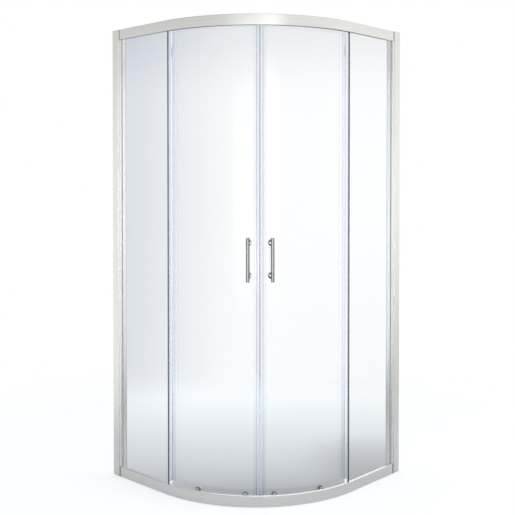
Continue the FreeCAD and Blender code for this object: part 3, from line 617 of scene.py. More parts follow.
def see_through(name, colour, rough, index, wave, grain, transmission=1.0):
    """Clear glass or soft plastic: a tint, a faint film and a slow wave; lamps shine through it unbent."""
    worn = shade_of(colour, *WORN_CLEAR)
    material, tree, shader, _, where = filmed(
        name, colour, worn, rough, grain, IOR=index, Transmission_Weight=transmission)
    scale, strength, depth = wave
    slow = noise(tree, where, scale, 1.0)
    feed(tree, shader, {"Normal": bumped(tree, slow, strength, depth)})
    shadow = add_node(tree, "LightPath", {}).outputs["Is Shadow Ray"]
    pale = (*(channel ** 0.5 for channel in colour), 1.0)
    unbent = add_node(tree, "BsdfTransparent", {"Color": pale}).outputs[0]
    both = add_node(tree, "MixShader", {0: shadow, 1: shader.outputs[0], 2: unbent})
    tree.links.new(both.outputs[0], tree.nodes["Material Output"].inputs["Surface"])
    return material


def dress(material, *nodes):
    """Give CAD nodes a finished material in place of their plain one."""
    for node in nodes:
        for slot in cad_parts[node].material_slots:
            slot.material = material


def both_sides(*names):
    """The left and the right node of each name."""
    return [side + "_" + name for side in SIDES for name in names]


# ---- properties ----

class EnclosureSizes(bpy.types.PropertyGroup):
    """Sizes of the finer shapes."""

    rail_edge: bpy.props.FloatProperty(
        name="Rail edge", description="Rounding of the rails' small edges", default=0.3 * MM, unit="LENGTH")
    seal_edge: bpy.props.FloatProperty(
        name="Seal edge", description="Rounding of the seals' long edges", default=0.35 * MM, unit="LENGTH")
    chamber_edge: bpy.props.FloatProperty(
        name="Chamber edge", description="Rounding of the meeting seals' chambers", default=1.6 * MM,
        unit="LENGTH")
    bar_radius: bpy.props.FloatProperty(
        name="Bar radius", description="Radius of the handle bars", default=7 * MM, unit="LENGTH")
    bar_length: bpy.props.FloatProperty(
        name="Bar length", description="Length of the handle bars", default=170 * MM, unit="LENGTH")
    disc_radius: bpy.props.FloatProperty(
        name="Disc radius", description="Radius of the handles' discs", default=12 * MM, unit="LENGTH")
    bend_steps: bpy.props.IntProperty(
        name="Bend steps", description="Steps round the quarter bend", default=90, min=12)
    round_steps: bpy.props.IntProperty(
        name="Round steps", description="Steps round a turned piece", default=56, min=12)


class EnclosureFinishes(bpy.types.PropertyGroup):
    """Colours of the finishes."""

    silver: bpy.props.FloatVectorProperty(
        name="Silver", description="Anodised aluminium", default=(0.80, 0.80, 0.775), subtype="COLOR")
    chrome: bpy.props.FloatVectorProperty(
        name="Chrome", description="Handle bars and caps", default=(0.23, 0.232, 0.235), subtype="COLOR")
    bright: bpy.props.FloatVectorProperty(
        name="Bright chrome", description="Handle posts", default=(0.62, 0.62, 0.625), subtype="COLOR")
    steel: bpy.props.FloatVectorProperty(
        name="Steel", description="Nuts and screws", default=(0.60, 0.60, 0.61), subtype="COLOR")
    glass: bpy.props.FloatVectorProperty(
        name="Glass", description="Tint of the panes", default=(0.955, 0.967, 0.976), subtype="COLOR")
    seal: bpy.props.FloatVectorProperty(
        name="Seal", description="Clear soft plastic", default=(0.945, 0.962, 0.985), subtype="COLOR")
    edge_seal: bpy.props.FloatVectorProperty(
        name="Edge seal", description="Firm spine of a fixed pane's seal", default=(0.84, 0.875, 0.97),
        subtype="COLOR")
    magnet: bpy.props.FloatVectorProperty(
        name="Magnet strip", description="Strip in a meeting seal", default=(0.95, 0.96, 0.985),
        subtype="COLOR")
    gasket: bpy.props.FloatVectorProperty(
        name="Gasket", description="Glazing gasket", default=(0.74, 0.765, 0.775), subtype="COLOR")
    # painted shade: the end blocks are real moulded parts, and their near-black colour also stands in for the
    # shadow gap at the rail ends
    block: bpy.props.FloatVectorProperty(
        name="End block", description="Moulded end blocks", default=(0.025, 0.025, 0.027), subtype="COLOR")
    housing: bpy.props.FloatVectorProperty(
        name="Housing", description="Roller mounts", default=(0.16, 0.165, 0.19), subtype="COLOR")
    wheel: bpy.props.FloatVectorProperty(
        name="Wheel", description="Running wheels", default=(0.68, 0.68, 0.67), subtype="COLOR")
    floor: bpy.props.FloatVectorProperty(
        name="Floor", description="Floor of the stage", default=(0.565, 0.582, 0.60), subtype="COLOR")
    rubber: bpy.props.FloatVectorProperty(
        name="Rubber", description="Travel stops", default=(0.05, 0.05, 0.052), subtype="COLOR")
    washer: bpy.props.FloatVectorProperty(
        name="Washer", description="Washers of the handle posts", default=(0.8, 0.82, 0.84), subtype="COLOR")
    cap: bpy.props.FloatVectorProperty(
        name="Cap", description="Caps of the jamb screws", default=(0.66, 0.66, 0.65), subtype="COLOR")


# ---- metalwork ----

def top_rail_outline(edge):
    """The top rail's section, from its outer face round the pocket, the track and the web."""
    web = HEIGHT - RAIL_WALL
    ledge_top = TOP_LEDGE + RAIL_WALL
    corners = [
        (0, TOP_BASE), (POCKET_OUTER, TOP_BASE), (POCKET_OUTER, TOP_BASE + TOP_POCKET_DEPTH),
        (POCKET_INNER, TOP_BASE + TOP_POCKET_DEPTH), (POCKET_INNER, TOP_BASE), (TRACK_START, TOP_BASE),
        (TRACK_START, TOP_LEDGE), (TRACK_END, TOP_LEDGE), (TRACK_END, ledge_top + LIP_HEIGHT),
        (LIP_START, ledge_top + LIP_HEIGHT), (LIP_START, ledge_top), (TRACK_START, ledge_top),
        (TRACK_START, web), (TOP_WEB_DEPTH, web), (TOP_WEB_DEPTH, HEIGHT), (0, HEIGHT),
    ]
    return softened(corners, [2 * edge] + [edge] * (len(corners) - 2) + [FACE_EDGE])


def bottom_rail_outline(edge):
    """The bottom rail's section, from its outer face under the foot and back over the track."""
    lip_top = BOTTOM_LEDGE + LIP_HEIGHT
    corners = [
        (0, 0), (FOOT_DEPTH, 0), (FOOT_DEPTH, FOOT_UPSTAND), (FOOT_DEPTH - RAIL_WALL, FOOT_UPSTAND),
        (FOOT_DEPTH - RAIL_WALL, RAIL_WALL), (TRACK_END, RAIL_WALL), (TRACK_END, lip_top),
        (LIP_START, lip_top), (LIP_START, BOTTOM_LEDGE), (TRACK_START, BOTTOM_LEDGE),
        (TRACK_START, POCKET_LEG_TOP), (POCKET_INNER, POCKET_LEG_TOP), (POCKET_INNER, POCKET_FLOOR),
        (POCKET_OUTER, POCKET_FLOOR), (POCKET_OUTER, BOTTOM_HEIGHT), (0, BOTTOM_HEIGHT),
    ]
    return softened(corners, [edge] * (len(corners) - 1) + [FACE_EDGE])


class ENCLOSURE_OT_metalwork(bpy.types.Operator):
    """Build the two bent rails and finish the wall channels, jambs and end blocks"""

    bl_idname = "enclosure.metalwork"
    bl_label = "Metalwork"

    def execute(self, context):
        finish = context.scene.enclosure_finishes
        sizes = context.scene.enclosure_sizes
        silver = tuple(finish.silver)
        level = drawn_metal("Silver rail", silver, ALONG_RAIL, (0.2, 0.28))
        upright = drawn_metal("Silver profile", silver, ALONG_PROFILE, (0.22, 0.3), 0.2 * MM)
        path = rail_stations(sizes.bend_steps)
        for place, outline in (("top", top_rail_outline), ("bottom", bottom_rail_outline)):
            grid = carried(outline(sizes.rail_edge), *path)
            piece(place + "_rail_extrusion", [grid], level, "frame", "silver_rail", [place + "_rail"])
        dress(upright, *both_sides("wall_profile", "jamb_profile"))
        # painted shade: besides being real parts, the near-black end blocks show as the shadow gap between
        # the rail ends and the jambs
        block = moulded("End block plastic", tuple(finish.block))
        dress(block, *both_sides("upper_corner_block", "lower_corner_block"))
        return {"FINISHED"}


class ENCLOSURE_OT_panes(bpy.types.Operator):
    """Finish the two fixed panes and the two curved door panes"""

    bl_idname = "enclosure.panes"
    bl_label = "Panes"

    def execute(self, context):
        tint = tuple(context.scene.enclosure_finishes.glass)
        dress(see_through("Fixed glass", tint, **GLASS), *both_sides("fixed_glass"))
        dress(see_through("Door glass", tint, **GLASS), *both_sides("door_glass"))
        return {"FINISHED"}


# ---- seals ----

def rounded_box(a0, b0, a1, b1, edge, steps=SEAL_ARC):
    """A rectangle from one corner to the opposite one, with rounded corners."""
    return softened([(a0, b0), (a1, b0), (a1, b1), (a0, b1)], edge, steps)


def edge_seal_grids(edge):
    """Clip on a fixed pane's free edge: its firm spine, then its two soft legs and the fin to the door."""
    end = PANE_EDGE + SEAL_WALL
    spine = rounded_box(PANE_EDGE, SPINE_START, end, POCKET_INNER, edge)
    grip = PANE_EDGE - EDGE_GRIP
    front = softened([
        (grip, POCKET_OUTER), (end, POCKET_OUTER), (end, SPINE_START), (PANE_EDGE, SPINE_START),
        (PANE_EDGE, PANE_OUTER), (grip, PANE_OUTER),
    ], edge, SEAL_ARC)
    back = rounded_box(grip, PANE_INNER, PANE_EDGE + edge, POCKET_INNER, edge)
    fin = rounded_box(PANE_EDGE, POCKET_INNER - edge, end, EDGE_FIN_END, edge)
    legs = [raised(leg, SEAL_LOW, SEAL_HIGH) for leg in (front, back)]
    return [raised(spine, SEAL_LOW, SEAL_HIGH)], legs + [raised(fin, EDGE_FIN_LOW, SEAL_HIGH)]


def tail_seal_grids(edge):
    """Trailing seal: two legs on the door glass, a heel, and a fin that hooks behind the fixed pane's fin."""
    outer = DOOR_OUTER - SEAL_WALL
    inner = DOOR_INNER + SEAL_WALL
    heel = SEAL_WALL - TAIL_HEEL
    corners = [
        (-TAIL_HEEL, outer - TAIL_FIN), (heel, outer - TAIL_FIN), (heel, outer), (TAIL_GRIP, outer),
        (TAIL_GRIP, DOOR_OUTER), (0, DOOR_OUTER), (0, DOOR_INNER), (TAIL_GRIP, DOOR_INNER),
        (TAIL_GRIP, inner), (-TAIL_HEEL, inner),
    ]
    plan = on_bend(softened(corners, edge, SEAL_ARC), TAIL_ANGLE, 1)
    return [upright_sheets(plan, SEAL_LOW, SEAL_HIGH)]


def meeting_chamber_grid(edge):
    """The meeting seal's hollow chamber with rounded corners."""
    outer = rounded_box(CHAMBER_GAP, CHAMBER_FRONT, CHAMBER_END, CHAMBER_BACK, edge, TURNED_ARC)
    inner = rounded_box(CHAMBER_GAP + SEAL_WALL, CHAMBER_FRONT + SEAL_WALL,
                        CHAMBER_END - SEAL_WALL, CHAMBER_BACK - SEAL_WALL, edge / 2, TURNED_ARC)
    outer, inner = (on_bend(plan, MEETING_ANGLE, -1) for plan in (outer, inner))
    return tube(outer, inner, MEETING_LOW, MEETING_HIGH)


def meeting_leg_grids(edge):
    """The meeting seal's two legs on the glass and the small fins at the chamber's corners."""
    root = CHAMBER_END - SEAL_WALL / 2
    bars = (
        (CHAMBER_END + MEETING_GRIP, DOOR_OUTER - SEAL_WALL), (CHAMBER_END + MEETING_GRIP, DOOR_INNER),
        (CHAMBER_END + CORNER_FIN, CHAMBER_FRONT), (CHAMBER_END + CORNER_FIN, CHAMBER_BACK - SEAL_WALL),
    )
    plans = [rounded_box(root, t, end, t + SEAL_WALL, edge) for end, t in bars]
    return [upright_sheets(on_bend(plan, MEETING_ANGLE, -1), MEETING_LOW, MEETING_HIGH) for plan in plans]


def magnet_grid(edge):
    """Magnet strip inside the chamber, against its meeting wall."""
    start = CHAMBER_GAP + SEAL_WALL + MAGNET_INSET / 2
    front = CHAMBER_FRONT + SEAL_WALL + MAGNET_INSET
    back = CHAMBER_BACK - SEAL_WALL - MAGNET_INSET
    plan = rounded_box(start, front, start + MAGNET_WIDTH, back, edge, PLAIN_ARC)
    plan = on_bend(plan, MEETING_ANGLE, -1)
    return upright_sheets(plan, MEETING_LOW + MAGNET_INSET, MEETING_HIGH - MAGNET_INSET)


def wiper_grid(edge, steps):
    """Strip under the door glass: a foot against its inner face and a blade over the drip foot."""
    blade = (DOOR_OUTER + DOOR_INNER) / 2
    under = DOOR_BOTTOM - SEAL_WALL
    inner = DOOR_INNER + SEAL_WALL
    outline = softened([
        (DOOR_OUTER, under), (blade, under), (blade, WIPER_BOTTOM), (blade + SEAL_WALL, WIPER_BOTTOM),
        (blade + SEAL_WALL, under), (inner, under), (inner, DOOR_BOTTOM + WIPER_LEG),
        (DOOR_INNER, DOOR_BOTTOM + WIPER_LEG), (DOOR_INNER, DOOR_BOTTOM), (DOOR_OUTER, DOOR_BOTTOM),
    ], edge, SEAL_ARC)
    end = MEETING_ANGLE - math.degrees((CHAMBER_END + MEETING_GRIP + SEAL_WALL / 3) / DOOR_RADIUS)
    return carried(outline, *bend_stations(np.linspace(TAIL_ANGLE, end, steps // 2 + 1)))


def gasket_grids(edge):
    """The two strips that wedge a fixed pane in its jamb."""
    strips = ((POCKET_OUTER, PANE_OUTER), (PANE_INNER, POCKET_INNER))
    plans = [rounded_box(GASKET_START, low, GASKET_END, high, edge) for low, high in strips]
    return [raised(plan, SEAL_LOW, SEAL_HIGH) for plan in plans]


class ENCLOSURE_OT_seals(bpy.types.Operator):
    """Build the seals, magnet strips, gaskets and travel stops"""

    bl_idname = "enclosure.seals"
    bl_label = "Seals"

    def execute(self, context):
        finish = context.scene.enclosure_finishes
        sizes = context.scene.enclosure_sizes
        edge = sizes.seal_edge
        clear = see_through("Clear seal", tuple(finish.seal), **SOFT_PLASTIC)
        firm = see_through("Edge seal", tuple(finish.edge_seal), **SOFT_PLASTIC, transmission=0.5)
        magnet = see_through("Magnet strip", tuple(finish.magnet), **SOFT_PLASTIC, transmission=0.9)
        gasket = moulded("Gasket", tuple(finish.gasket), (0.4, 0.6))
        rubber = moulded("Stop rubber", tuple(finish.rubber), (0.55, 0.75))
        spine, soft_parts = edge_seal_grids(edge)
        piece_pair("pane_edge_spine", spine, firm, "frame", "clear_seal", ["fixed_pane_seal"])
        piece_pair("pane_edge_fins", soft_parts, clear, "frame", "clear_seal")
        piece_pair("tail_seal", tail_seal_grids(edge), clear, "door", "clear_seal", ["door_trailing_seal"])
        piece_pair("meeting_chamber", [meeting_chamber_grid(sizes.chamber_edge)], clear, "door",
                   "magnet_seal", ["door_magnetic_seal"], wrapped=True)
        piece_pair("meeting_legs", meeting_leg_grids(edge), clear, "door", "magnet_seal")
        piece_pair("magnet_strip", [magnet_grid(edge)], magnet, "door", "magnet_seal")
        piece_pair("wiper_blade", [wiper_grid(edge, sizes.bend_steps)], clear, "door", "clear_seal",
                   ["door_wiper_seal"])
        piece_pair("jamb_beads", gasket_grids(edge), gasket, "frame", "gasket_rubber", ["jamb_gasket"])
        dress(gasket, *both_sides("head_gasket", "sill_gasket"))
        stop = rounded_box(*STOP_BOX[0], *STOP_BOX[1], STOP_ROUNDING, MOUNT_ARC)
        piece_pair("buffer", [raised(stop, STOP_LOW, STOP_LOW + STOP_HEIGHT)], rubber, "frame", "stop_rubber",
                   ["travel_stop"])
        return {"FINISHED"}


# ---- rollers ----

def wheel_grid(radius, angle, z, steps):
    """A wheel: tyre, sunk web on both faces, bearing boss, bore, and a recess for the axle's head."""
    rim = radius - 2.0 * MM
    boss = HEAD_RADIUS + 1.4 * MM
    sink = 0.6 * MM
    bore = AXLE_RADIUS + 0.05 * MM
    recess = HEAD_RADIUS + 0.3 * MM
    seat = WHEEL_FRONT + 1.5 * MM
    fine, soft, tread = 0.15 * MM, 0.3 * MM, 0.8 * MM
    rows = [
        (WHEEL_FRONT, recess, fine), (WHEEL_FRONT, boss, fine), (WHEEL_FRONT + sink, boss + sink, soft),
        (WHEEL_FRONT + sink, rim - sink, soft), (WHEEL_FRONT, rim, fine), (WHEEL_FRONT, radius, tread),
        (WHEEL_BACK, radius, tread), (WHEEL_BACK, rim, fine), (WHEEL_BACK - sink, rim - sink, soft),
        (WHEEL_BACK - sink, boss + sink, soft), (WHEEL_BACK, boss, fine), (WHEEL_BACK, bore, fine),
        (seat, bore, fine), (seat, recess, fine),
    ]
    return spun_inward(profile(rows, closed=True), angle, z, steps)


def mount_grid(body, angle, z, steps):
    """A roller mount: axle head and pin, hub, the body's rows, the stem through the glass and its stud."""
    head = WHEEL_FRONT + 0.15 * MM
    neck = head + 1.2 * MM
    fine, soft = 0.05 * MM, 0.4 * MM
    rows = [
        (head, POLE, 0), (head, HEAD_RADIUS, soft), (neck, HEAD_RADIUS, fine), (neck, AXLE_RADIUS, fine),
        (HUB_START, AXLE_RADIUS, fine), (HUB_START, HUB_RADIUS, soft), *body, (MOUNT_FACE, STEM_RADIUS, fine),
        (SHOULDER, STEM_RADIUS, fine), (SHOULDER, STUD_RADIUS, fine), (STUD_END, STUD_RADIUS, soft),
        (STUD_END, POLE, 0),
    ]
    return spun_inward(profile(rows, MOUNT_ARC), angle, z, steps)


def upper_mount(angle, steps):
    """Upper mount: hub and a round flange on the glass."""
    front = MOUNT_FACE - FLANGE_THICKNESS
    edge = 0.6 * MM
    body = [(front, HUB_RADIUS, edge), (front, FLANGE_RADIUS, edge), (MOUNT_FACE, FLANGE_RADIUS, edge / 3)]
    return mount_grid(body, angle, UPPER_WHEEL_HEIGHT, steps)


def lower_mount(angle, steps):
    """Lower mount: hub and a domed housing, cut flat above the track's lip."""
    crown, edge = 3.2 * MM, 0.3 * MM
    body = [(DOME_FRONT, HUB_RADIUS, edge), (DOME_FRONT, DOME_RADIUS, crown), (MOUNT_FACE, DOME_RADIUS, edge)]
    return levelled(mount_grid(body, angle, LOWER_WHEEL_HEIGHT, steps), LOWER_WHEEL_HEIGHT, DOME_FLAT)


def crowned_grid(radius, height, crown, angle, z, steps):
    """A nut or cap with a rounded crown on the inner face of the glass."""
    end = SHOULDER + height
    rows = [(SHOULDER, POLE, 0), (SHOULDER, radius, 0.4 * MM), (end, radius, crown), (end, POLE, 0)]
    return spun_inward(profile(rows, CROWN_ARC), angle, z, steps)


class ENCLOSURE_OT_rollers(bpy.types.Operator):
    """Build the wheels, their mounts and nuts"""

    bl_idname = "enclosure.rollers"
    bl_label = "Rollers"

    def execute(self, context):
        finish = context.scene.enclosure_finishes
        steps = context.scene.enclosure_sizes.round_steps
        housing = moulded("Roller housing", tuple(finish.housing))
        tyre = moulded("Wheel", tuple(finish.wheel), (0.2, 0.35))
        steel = plated("Roller nut", tuple(finish.steel))
        angles = [angle for place, angle in ROLLERS]
        levels = (
            ("upper", UPPER_WHEEL_HEIGHT, UPPER_WHEEL_RADIUS, upper_mount),
            ("lower", LOWER_WHEEL_HEIGHT, LOWER_WHEEL_RADIUS, lower_mount),
        )
        for level, height, radius, mount in levels:
            piece_pair(level + "_hangers", [mount(angle, steps) for angle in angles], housing, "door",
                       "roller_plastic", [level + "_roller_mounts"])
            nuts = [crowned_grid(NUT_RADIUS, NUT_HEIGHT, NUT_CROWN, angle, height, steps) for angle in angles]
            piece_pair(level + "_dome_nuts", nuts, steel, "door", "nut_chrome", [level + "_roller_nuts"])
            for place, angle in ROLLERS:
                grid = wheel_grid(radius, angle, height, steps)
                node = level + "_" + place + "_wheel"
                piece_pair(level + "_" + place + "_tyre", [grid], tyre, node, "wheel_plastic", [node],
                           wrapped=True)
        return {"FINISHED"}


# ---- handles ----

def bar_grid(radius, length, steps):
    """Upright bar with rounded ends: a (z, r) profile spun about the bar's axis."""
    low, high = HANDLE_HEIGHT - length / 2, HANDLE_HEIGHT + length / 2
    edge = 1 * MM
    rows = [(low, POLE, 0), (low, radius, edge), (high, radius, edge), (high, POLE, 0)]
    point, inward = bend_stations(HANDLE_ANGLE)
    return spun(profile(rows, TURNED_ARC), (*(point[0] + BAR_DEPTH * inward[0]), 0.0), (0.0, 0.0, 1.0), steps)


def post_grid(z, disc_radius, steps):
    """Post from the bar to the glass, with a filleted disc that clamps on the washer, and its bolt."""
    disc = WASHER_FACE - DISC_THICKNESS
    fine, edge, fillet = 0.2 * MM, 0.8 * MM, 1.2 * MM
    rows = [
        (BAR_DEPTH, POLE, 0), (BAR_DEPTH, POST_RADIUS, fine), (disc, POST_RADIUS, fillet),
        (disc, disc_radius, edge), (WASHER_FACE, disc_radius, fine), (WASHER_FACE, BOLT_RADIUS, fine),
        (SHOULDER, BOLT_RADIUS, fine), (SHOULDER, POLE, 0),
    ]
    return spun_inward(profile(rows, TURNED_ARC), HANDLE_ANGLE, z, steps)


def washer_grid(z, steps):
    """Soft washer between a post's disc and the glass."""
    bore = BOLT_RADIUS + 0.05 * MM
    ring = rounded_box(WASHER_FACE, bore, MOUNT_FACE, WASHER_RADIUS, 0.4 * MM, PLAIN_ARC)
    return spun_inward(ring, HANDLE_ANGLE, z, steps)


class ENCLOSURE_OT_handles(bpy.types.Operator):
    """Build the handle bars, their posts, washers and inner caps"""

    bl_idname = "enclosure.handles"
    bl_label = "Handles"

    def execute(self, context):
        finish = context.scene.enclosure_finishes
        sizes = context.scene.enclosure_sizes
        steps = sizes.round_steps
        chrome = plated("Handle chrome", tuple(finish.chrome))
        bright = plated("Post chrome", tuple(finish.bright))
        soft = see_through("Washer", tuple(finish.washer), **WASHER_PLASTIC, transmission=0.8)
        piece_pair("pull_bar", [bar_grid(sizes.bar_radius, sizes.bar_length, steps)], chrome, "door",
                   "handle_chrome", ["handle_bar"])
        posts = [post_grid(z, sizes.disc_radius, steps) for z in POST_HEIGHTS]
        piece_pair("pull_posts", posts, bright, "door", "handle_chrome", ["handle_posts"])
        washers = [washer_grid(z, steps) for z in POST_HEIGHTS]
        piece_pair("pull_washers", washers, soft, "door", "washer_plastic", ["handle_washers"], wrapped=True)
        caps = [crowned_grid(sizes.disc_radius, INNER_CAP_HEIGHT, INNER_CAP_CROWN, HANDLE_ANGLE, z, steps)
                for z in POST_HEIGHTS]
        piece_pair("pull_caps", caps, chrome, "door", "handle_chrome", ["handle_inner_caps"])
        return {"FINISHED"}


# ---- fixings ----

def cap_grid(z, steps):
    """Push-on cap over a jamb screw: a low ring at its foot and a rounded crown."""
    foot = PROFILE_DEPTH
    crown = foot + CAP_HEIGHT
    shoulder = foot + 1.0 * MM
    waist = CAP_RADIUS - 0.5 * MM
    fine = 0.2 * MM
    rows = [
        (foot, POLE, 0), (foot, CAP_RADIUS, fine), (shoulder, CAP_RADIUS, fine), (shoulder, waist, fine),
        (crown, waist, 1.6 * MM), (crown, POLE, 0),
    ]
    return spun(profile(rows, MOUNT_ARC), (SCREW_AT - HALF, -HALF, z), (0.0, 1.0, 0.0), steps)


class ENCLOSURE_OT_fixings(bpy.types.Operator):
    """Finish the jamb screws and build their caps"""

    bl_idname = "enclosure.fixings"
    bl_label = "Fixings"

    def execute(self, context):
        finish = context.scene.enclosure_finishes
        steps = context.scene.enclosure_sizes.round_steps
        dress(plated("Screw steel", tuple(finish.steel), (0.2, 0.35)), *both_sides("jamb_screws"))
        cap = moulded("Cap plastic", tuple(finish.cap))
        piece_pair("cap_domes", [cap_grid(z, steps) for z in SCREW_HEIGHTS], cap, "frame", "cap_plastic",
                   ["screw_caps"])
        return {"FINISHED"}


# ---- stage ----

DIAGONAL = 1 / math.sqrt(2)
FRONT = (DIAGONAL, -DIAGONAL, 0.0)      # out through the doorway
RIGHT = (DIAGONAL, DIAGONAL, 0.0)       # to the right of someone who looks at the doors
UP = (0.0, 0.0, 1.0)

# The floor's own light: for the eye, in metal, and behind glass, rising with the distance behind the doors.
FLOOR_RINGS = (0.5, 1.0, 1.6, 2.3)
FLOOR_STEPS = 96
FLOOR_TINT = (0.96, 1.0, 1.025, 1.0)
FLOOR_TO_EYE = 0.52
FLOOR_IN_METAL = 0.2
FLOOR_BEHIND_GLASS = 0.55
FLOOR_RISE = (-0.2, 1.3)
FLOOR_BEND = 0.6
FLOOR_FILM = (1.5, 60.0)

# Ramps: where the step starts and ends, and its value before and after it. Azimuths are in radians from
# FRONT towards RIGHT, heights are the sine of the elevation, sides are along RIGHT and depths against FRONT.
SHADE_ASIDE = (0.15, 0.45, 0.0, 0.75)
SHADE_DEPTH = (0.1, 0.6, 1.0, 0.0)
DIM_LEFT = (-0.9, -0.2, 0.88, 1.0)
FADE_OUT = (1.0, 2.2, 1.0, 0.0)
TURNED = (-1.2, 1.2, 0.0, 1.0)          # azimuths over which the falls pass from left-hand to right-hand
ABOVE_LEFT, ABOVE_RIGHT = (0.06, 0.19, 1.0, 0.64), (0.02, 0.2, 1.0, 0.86)
BELOW_LEFT, BELOW_RIGHT = (-0.24, -0.345, 1.0, 0.6), (-0.02, -0.36, 1.0, 0.46)
ALL_ROUND = (-1.8, 1.8, 1.04, 1.1)
OVERHEAD = (0.4, 0.6, 1.0, 0.45)
REAR = (1.95, 2.3, 0.0, 1.0)            # azimuths, either way, from which the rear takes over
REAR_RISE = (0.18, 0.3, 0.0, 1.0)       # heights over which its low level gives way to its high one
REAR_HIGH = (-0.12, 0.02, 0.5, 1.6)     # its high level by side
REAR_LOW = 0.35
ONE_PANE = 2.5                          # a ray past this transmission depth has met more than one pane
NO_MIRROR = 0.5                         # a ray past this glossy depth has met metal
PAST_PANES = 1.38                       # metal behind the panes shows a brighter room
DULL_LOBE = 0.6                         # for rays that are neither mirrored nor seen through glass
BACKDROP_SIDE = (-0.19, 0.05, 0.7, 1.02)
BACKDROP_HIGH = (0.09, 0.2, 1.0, 0.86)
BACKDROP_TINT, TINT_BY_TONE = (0.93, 0.97, 1.06), (1.0, 0.65, 0.0, 1.0)
WHITE = (1.0, 1.0, 1.0)

# Soft boxes as metal shows them: two azimuths, two heights, the blur of the edges and the added light.
SOFT_BOXES = (
    ((-0.42, 0.36), (-0.13, 0.12), 0.05, 1.0),      # broad box before the doorway
    ((0.09, 0.37), (-0.06, 0.14), 0.018, 1.0),      # its bright right-hand part
    ((1.28, 1.66), (-0.06, 0.14), 0.03, 0.2),       # far right, for the left jamb
    ((-0.06, 0.06), (-0.125, -0.06), 0.015, 14.0),  # narrow tube for the handle bars
)

# Lamps: name, place, target, width and height, and power.
LAMPS = (
    ("Front box", (2.6, -2.6, 1.3), (0.2, -0.2, 1.0), (2.2, 2.3), 36.0),
    ("Right box", (2.9, 2.4, 1.6), (0.2, 0.1, 1.0), (2.6, 2.8), 26.0),
    ("Top box", (0.0, 0.0, 3.6), (0.05, -0.05, 0.0), (2.6, 2.6), 30.0),
)

# The photograph's camera, solved from the frame's corners and bend.
CAMERA_PLACE = np.array([2.4806, -2.6404, 1.2549])
CAMERA_YAW = 0.03179
CAMERA_PITCH = 0.01797
CAMERA_LENS = 58.889
CAMERA_SHIFT = -0.11656
SENSOR_WIDTH = 36.0


def build_floor(colour):
    """A flat disc of rings (r cos a, r sin a, 0) that fades out before the horizon."""
    turn = np.linspace(0, 2 * math.pi, FLOOR_STEPS, endpoint=False)
    circle = np.stack([np.cos(turn), np.sin(turn), 0 * turn], axis=1)
    rings = np.array(FLOOR_RINGS)[:, None, None] * circle
    ring, spot = np.meshgrid(np.arange(len(FLOOR_RINGS) - 1), np.arange(FLOOR_STEPS), indexing="ij")
    near, far, after = ring * FLOOR_STEPS, (ring + 1) * FLOOR_STEPS, (spot + 1) % FLOOR_STEPS
    quads = np.stack([near + spot, far + spot, far + after, near + after], axis=2).reshape(-1, 4)
    faces = quads.tolist() + [list(range(FLOOR_STEPS))]
    floor = mesh_object("floor", rings.reshape(-1, 3), faces, floor_material(colour))


def floor_material(colour):
    """Pale floor that reads white to the eye and darkens behind glass towards the front rail.

    Behind glass its light is FLOOR_BEHIND_GLASS * rise ** FLOOR_BEND, less a shade on the right by the rail.
    """
    material, tree, shader = blank_material("Pale floor", Roughness=0.9, Specular_IOR_Level=0.1)
    where = object_place(tree)
    film = surface_film(tree, where, *FLOOR_FILM)["Film"]
    depth = product(tree, along(tree, where, FRONT), -1.0)
    aside = along(tree, where, RIGHT)
    rise = worked(tree, "POWER", evened(tree, depth, *FLOOR_RISE), FLOOR_BEND)
    shade = product(tree, ramp(tree, aside, *SHADE_ASIDE), ramp(tree, depth, *SHADE_DEPTH))
    lit = worked(tree, "SUBTRACT", 1.0, shade)
    inside = product(tree, rise, FLOOR_BEHIND_GLASS, lit, ramp(tree, aside, *DIM_LEFT))
    ray = add_node(tree, "LightPath", {}).outputs
    level = blended(tree, ray["Is Glossy Ray"], 0.0, FLOOR_IN_METAL)
    level = blended(tree, ray["Is Transmission Ray"], level, inside)
    away = add_node(tree, "VectorMath", {0: where}, operation="LENGTH").outputs["Value"]
    feed(tree, shader, {
        "Base Color": tone_mix(tree, film, colour, shade_of(colour, *WORN_CLEAR)),
        "Emission Color": FLOOR_TINT,
        "Emission Strength": blended(tree, ray["Is Camera Ray"], level, FLOOR_TO_EYE),
        "Alpha": ramp(tree, away, *FADE_OUT),
    })
    return material


def soft_box(tree, azimuth, height, sides, ends, blur, level):
    """A bright patch between two azimuths and two heights, with blurred edges."""
    for source, (low, high) in ((azimuth, sides), (height, ends)):
        level = product(tree, level, ramp(tree, source, low - blur, low + blur, 0.0, 1.0),
                        ramp(tree, source, high - blur, high + blur, 1.0, 0.0))
    return level


def room_light(tree, side, azimuth, height):
    """The room round the object: its light falls above, below and overhead, and the rear has its own."""
    turned = ramp(tree, azimuth, *TURNED)
    level = ramp(tree, azimuth, *ALL_ROUND)
    for left, right in ((ABOVE_LEFT, ABOVE_RIGHT), (BELOW_LEFT, BELOW_RIGHT)):
        fall = blended(tree, turned, ramp(tree, height, *left), ramp(tree, height, *right))
        level = product(tree, level, fall)
    level = product(tree, level, ramp(tree, height, *OVERHEAD))
    rear = blended(tree, ramp(tree, height, *REAR_RISE), REAR_LOW, ramp(tree, side, *REAR_HIGH))
    return blended(tree, ramp(tree, worked(tree, "ABSOLUTE", azimuth), *REAR), level, rear)


